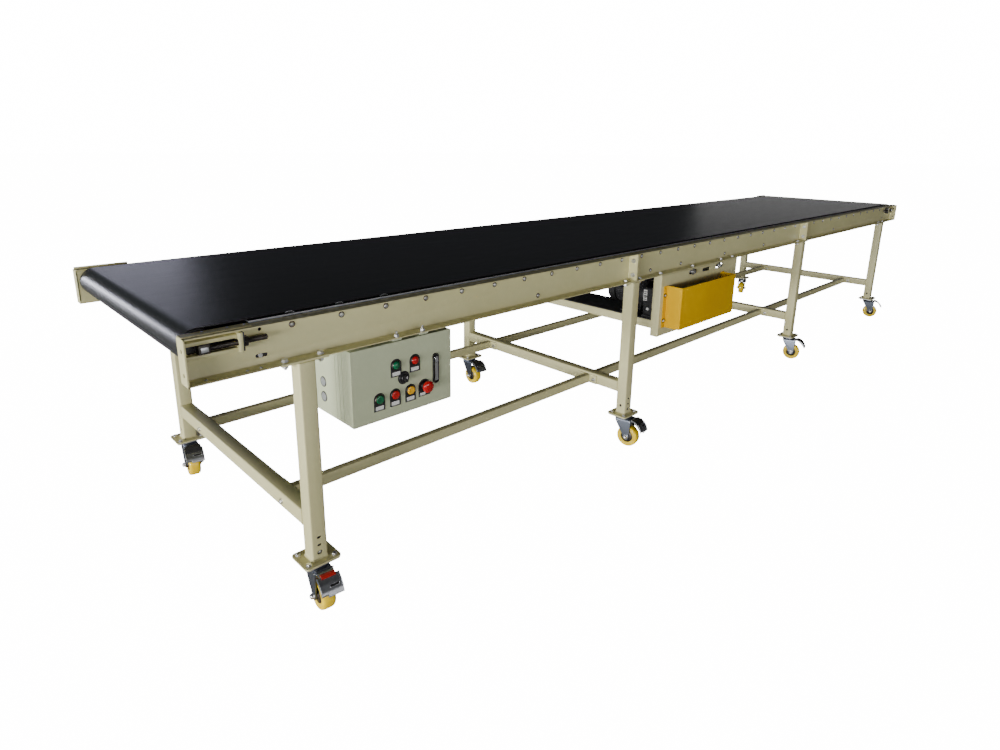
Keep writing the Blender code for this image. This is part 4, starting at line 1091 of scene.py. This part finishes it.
def door():
    front = BOX_FRONT
    cuts = [prism(box_outline(2, 3, 1.5, 2), "y", front + 2, front + 29), hole(ESTOP_X, BUTTON_Z, 11.9)]
    cuts += [hole(x, BUTTON_Z, CAP_HOLE) for x in BUTTONS.values()]
    cuts.append(hole(SELECTOR_X, SELECTOR_Z, 11.9))
    pocket = latch_outline(9.5, 6, 9.3, 6)
    cuts.append(prism(pocket, "y", front - 8, front + 0.5))
    tray = prism(box_outline(0, 1, 3), "y", front, front + 24)
    piece("door_panel", [fuse([tray], cuts)], GREEN_GREY, "door", "box_door")
    plates, labels, rings = [], [], []
    for x in BUTTONS.values():
        plates.append(fuse([legend_plate(x, BUTTON_Z)], [hole(x, BUTTON_Z, CAP_HOLE)]))
        labels.append(door_label(x, BUTTON_Z))
        rings.append(bezel(x, BUTTON_Z))
    plates.append(fuse([legend_plate(ESTOP_X - 3, BUTTON_Z, 22.5, 33)], [hole(ESTOP_X, BUTTON_Z, 12.3)]))
    labels.append(door_label(ESTOP_X - 10, BUTTON_Z, 10, 30, 9))
    rings.append(bezel(ESTOP_X, BUTTON_Z, 15, 11.7))
    for x in LAMPS.values():
        plates.append(legend_plate(x, LAMP_Z))
        labels.append(door_label(x, LAMP_Z))
        rings.append(bezel(x, LAMP_Z, y=LAMP_Y, depth=3.6))
    around = bar("y", *LEGEND_Y, SELECTOR_X, SELECTOR_Z, 21, 44)
    plates.append(fuse([around], [hole(SELECTOR_X, SELECTOR_Z, 12.3)]))
    piece("selector_bezel", [bezel(SELECTOR_X, SELECTOR_Z, 18, 11.7)], BLACK, "door")
    piece("door_legend_plates", plates, BLACK, "door")
    piece("door_labels", labels, WHITE, "door")
    piece("door_bezels", rings, OXIDE, "door")
    dome = [(0, 9.2), (4, 9), (8, 8), (11, 6.2), (12.8, 3.6), (CAP_R, 0.5), (0, 0.5)]
    for name, material in (("green", GREEN), ("red", RED)):
        piece(f"lamp_{name}", [lathe(dome, (LAMPS[name], LAMP_Y, LAMP_Z), TO_NEAR, 36)], material, "door")
    rim = prism(latch_outline(11.5, 8, 11.3, 7), "y", -560.2, -564.5)
    piece("latch_frame", [fuse([rim], [prism(pocket, "y", -570, -550)])], OXIDE, "door")
    piece("latch_recess", [prism(latch_outline(9.2, 5.6, 9, 6), "y", -559.4, -560)], BLACK, "door")


def controls():
    x, y, z = SELECTOR_X, BOX_FRONT, SELECTOR_Z
    cap = [(0, 14), (11, 14), (11, 6), (CAP_R, 6), (CAP_R, -6.2), (12.7, -7.6)]
    cap += [(11, -8.4), (8.5, -8.5), (7, -8.1), (0, -7.9)]
    for name, material in (("green", GREEN), ("red", RED), ("yellow", AMBER)):
        shapes = [lathe(cap, (BUTTONS[name], y, BUTTON_Z), TO_FAR, 40)]
        piece(f"push_{name}_cap", shapes, material, f"push_{name}", f"button_{name}")
    mushroom = [(0, 14), (9, 14), (9, -12), (12, -13), (18.4, -14.2), (19.6, -16), (20, -19), (18.6, -22.2),
                (15, -24.6), (9, -25.8), (0, -26)]
    at = (ESTOP_X, y, BUTTON_Z)
    piece("estop_mushroom", [lathe(mushroom, at, TO_FAR, 48)], RED, "estop", "estop_button")
    collar = [(9.6, -1), (11.4, -1), (11.4, -5.6), (9.6, -5.6)]
    piece("estop_collar", [lathe(collar, at, TO_FAR, 36)], BLACK, "door")
    barrel = lathe([(0, 14), (11, 14), (11, -6.5), (10, -8), (0, -8)], (x, y, z), TO_FAR, 40)
    handle = softened(centred(x, z, 4.2, 10, 3.8), 0.4, 1)
    shapes = [barrel, prism(handle, "y", y - 20, y - 5)]
    piece("selector_grip", shapes, BLACK, "selector", "selector_knob")
    mark = soft_block(x - 1.3, x + 1.3, y - 20.5, y - 19.6, z + 1, z + 9, 0.3, 1)
    piece("selector_mark", [mark], WHITE, "selector")
    lever = prism(latch_outline(6, -2, 5.5, 5), "y", -567, -562)
    pin = bar("x", LATCH_X - 8, LATCH_X + 8, -563.8, LATCH_Z[0] + 4.5, 2.4, 16)
    dent = centred(LATCH_X, LATCH_Z[1] - 15, 4, 7, 3.8, 5)
    lever = fuse([lever, pin], [prism(dent, "y", -570, -565.6)])
    piece("latch_lever", [lever], CHROME, "latch", "latch_handle")


control_box()
door()
controls()


# ------------------------------------------------------------------ room
def floor_material():
    m = Nodes("floor")
    m.put("Base Color", m.mix(m.noise(0.8, 3.0, 0.5), (0.80, 0.80, 0.79), (0.83, 0.83, 0.82)))
    m.put("Roughness", 0.8)
    m.put("Specular IOR Level", 0.1)
    m.put("Emission Color", (1.0, 1.0, 0.99))
    seen = m.node("LightPath").outputs["Is Camera Ray"]
    m.put("Emission Strength", m.math("MULTIPLY", seen, 15.5))
    return m.material


def area_light(name, at, target, size, power, tint=(1, 1, 1)):
    light = bpy.data.lights.new(name, "AREA")
    light.shape = "RECTANGLE"
    light.size, light.size_y = size
    light.energy = power
    light.color = tint
    obj = link(name, light)
    obj.location = at
    obj.rotation_euler = (Vector(target) - Vector(at)).to_track_quat("-Z", "Y").to_euler()


FLOOR_HALF = 60
bm = bmesh.new()
bmesh.ops.create_grid(bm, x_segments=2, y_segments=2, size=FLOOR_HALF)
floor = link("floor", as_mesh(bm))
floor.data.materials.append(floor_material())
floor.location = (0, 0, -0.0008)

world = bpy.data.worlds.new("studio")
bpy.context.scene.world = world
world.use_nodes = True
tree = world.node_tree
choose = tree.nodes.new("ShaderNodeMixShader")
tree.links.new(tree.nodes.new("ShaderNodeLightPath").outputs["Is Camera Ray"], choose.inputs[0])
background, backdrop = tree.nodes["Background"], tree.nodes.new("ShaderNodeBackground")
background.inputs["Color"].default_value = (0.93, 0.96, 1.0, 1)
background.inputs["Strength"].default_value = 0.04
backdrop.inputs["Color"].default_value = (1.0, 1.0, 0.995, 1)
backdrop.inputs["Strength"].default_value = 16.0
tree.links.new(background.outputs[0], choose.inputs[1])
tree.links.new(backdrop.outputs[0], choose.inputs[2])
tree.links.new(choose.outputs[0], tree.nodes["World Output"].inputs["Surface"])
# The lights are set for the camera's view: strong from the side, weak from above.
area_light("side", (-11.0, -1.5, 0.75), (-1.0, 0, 0.6), (7, 1.3), 1450)
area_light("top", (-1.0, -0.5, 7.5), (0, 0, 0.9), (8, 3.5), 9)
area_light("front", (-1.5, -9.0, 0.75), (-0.3, 0, 0.55), (8, 1.3), 190)
area_light("nose", (-5.0, 8.0, 1.25), (-2.3, 0, 0.85), (1.3, 1.1), 115, (0.86, 0.88, 1.0))
area_light("nose_low", (-5.1, 8.0, 0.2), (-2.3, 0, 0.85), (1.6, 0.7), 16, (0.86, 0.88, 1.0))
area_light("glow", (-1.0, 8.0, 2.4), (-2.0, 0, 0.9), (1.8, 1.8), 17, (0.80, 0.80, 1.0))
area_light("far_end", (14.0, 4.6, 2.0), (2.0, 0, 0.9), (5, 2.4), 26)
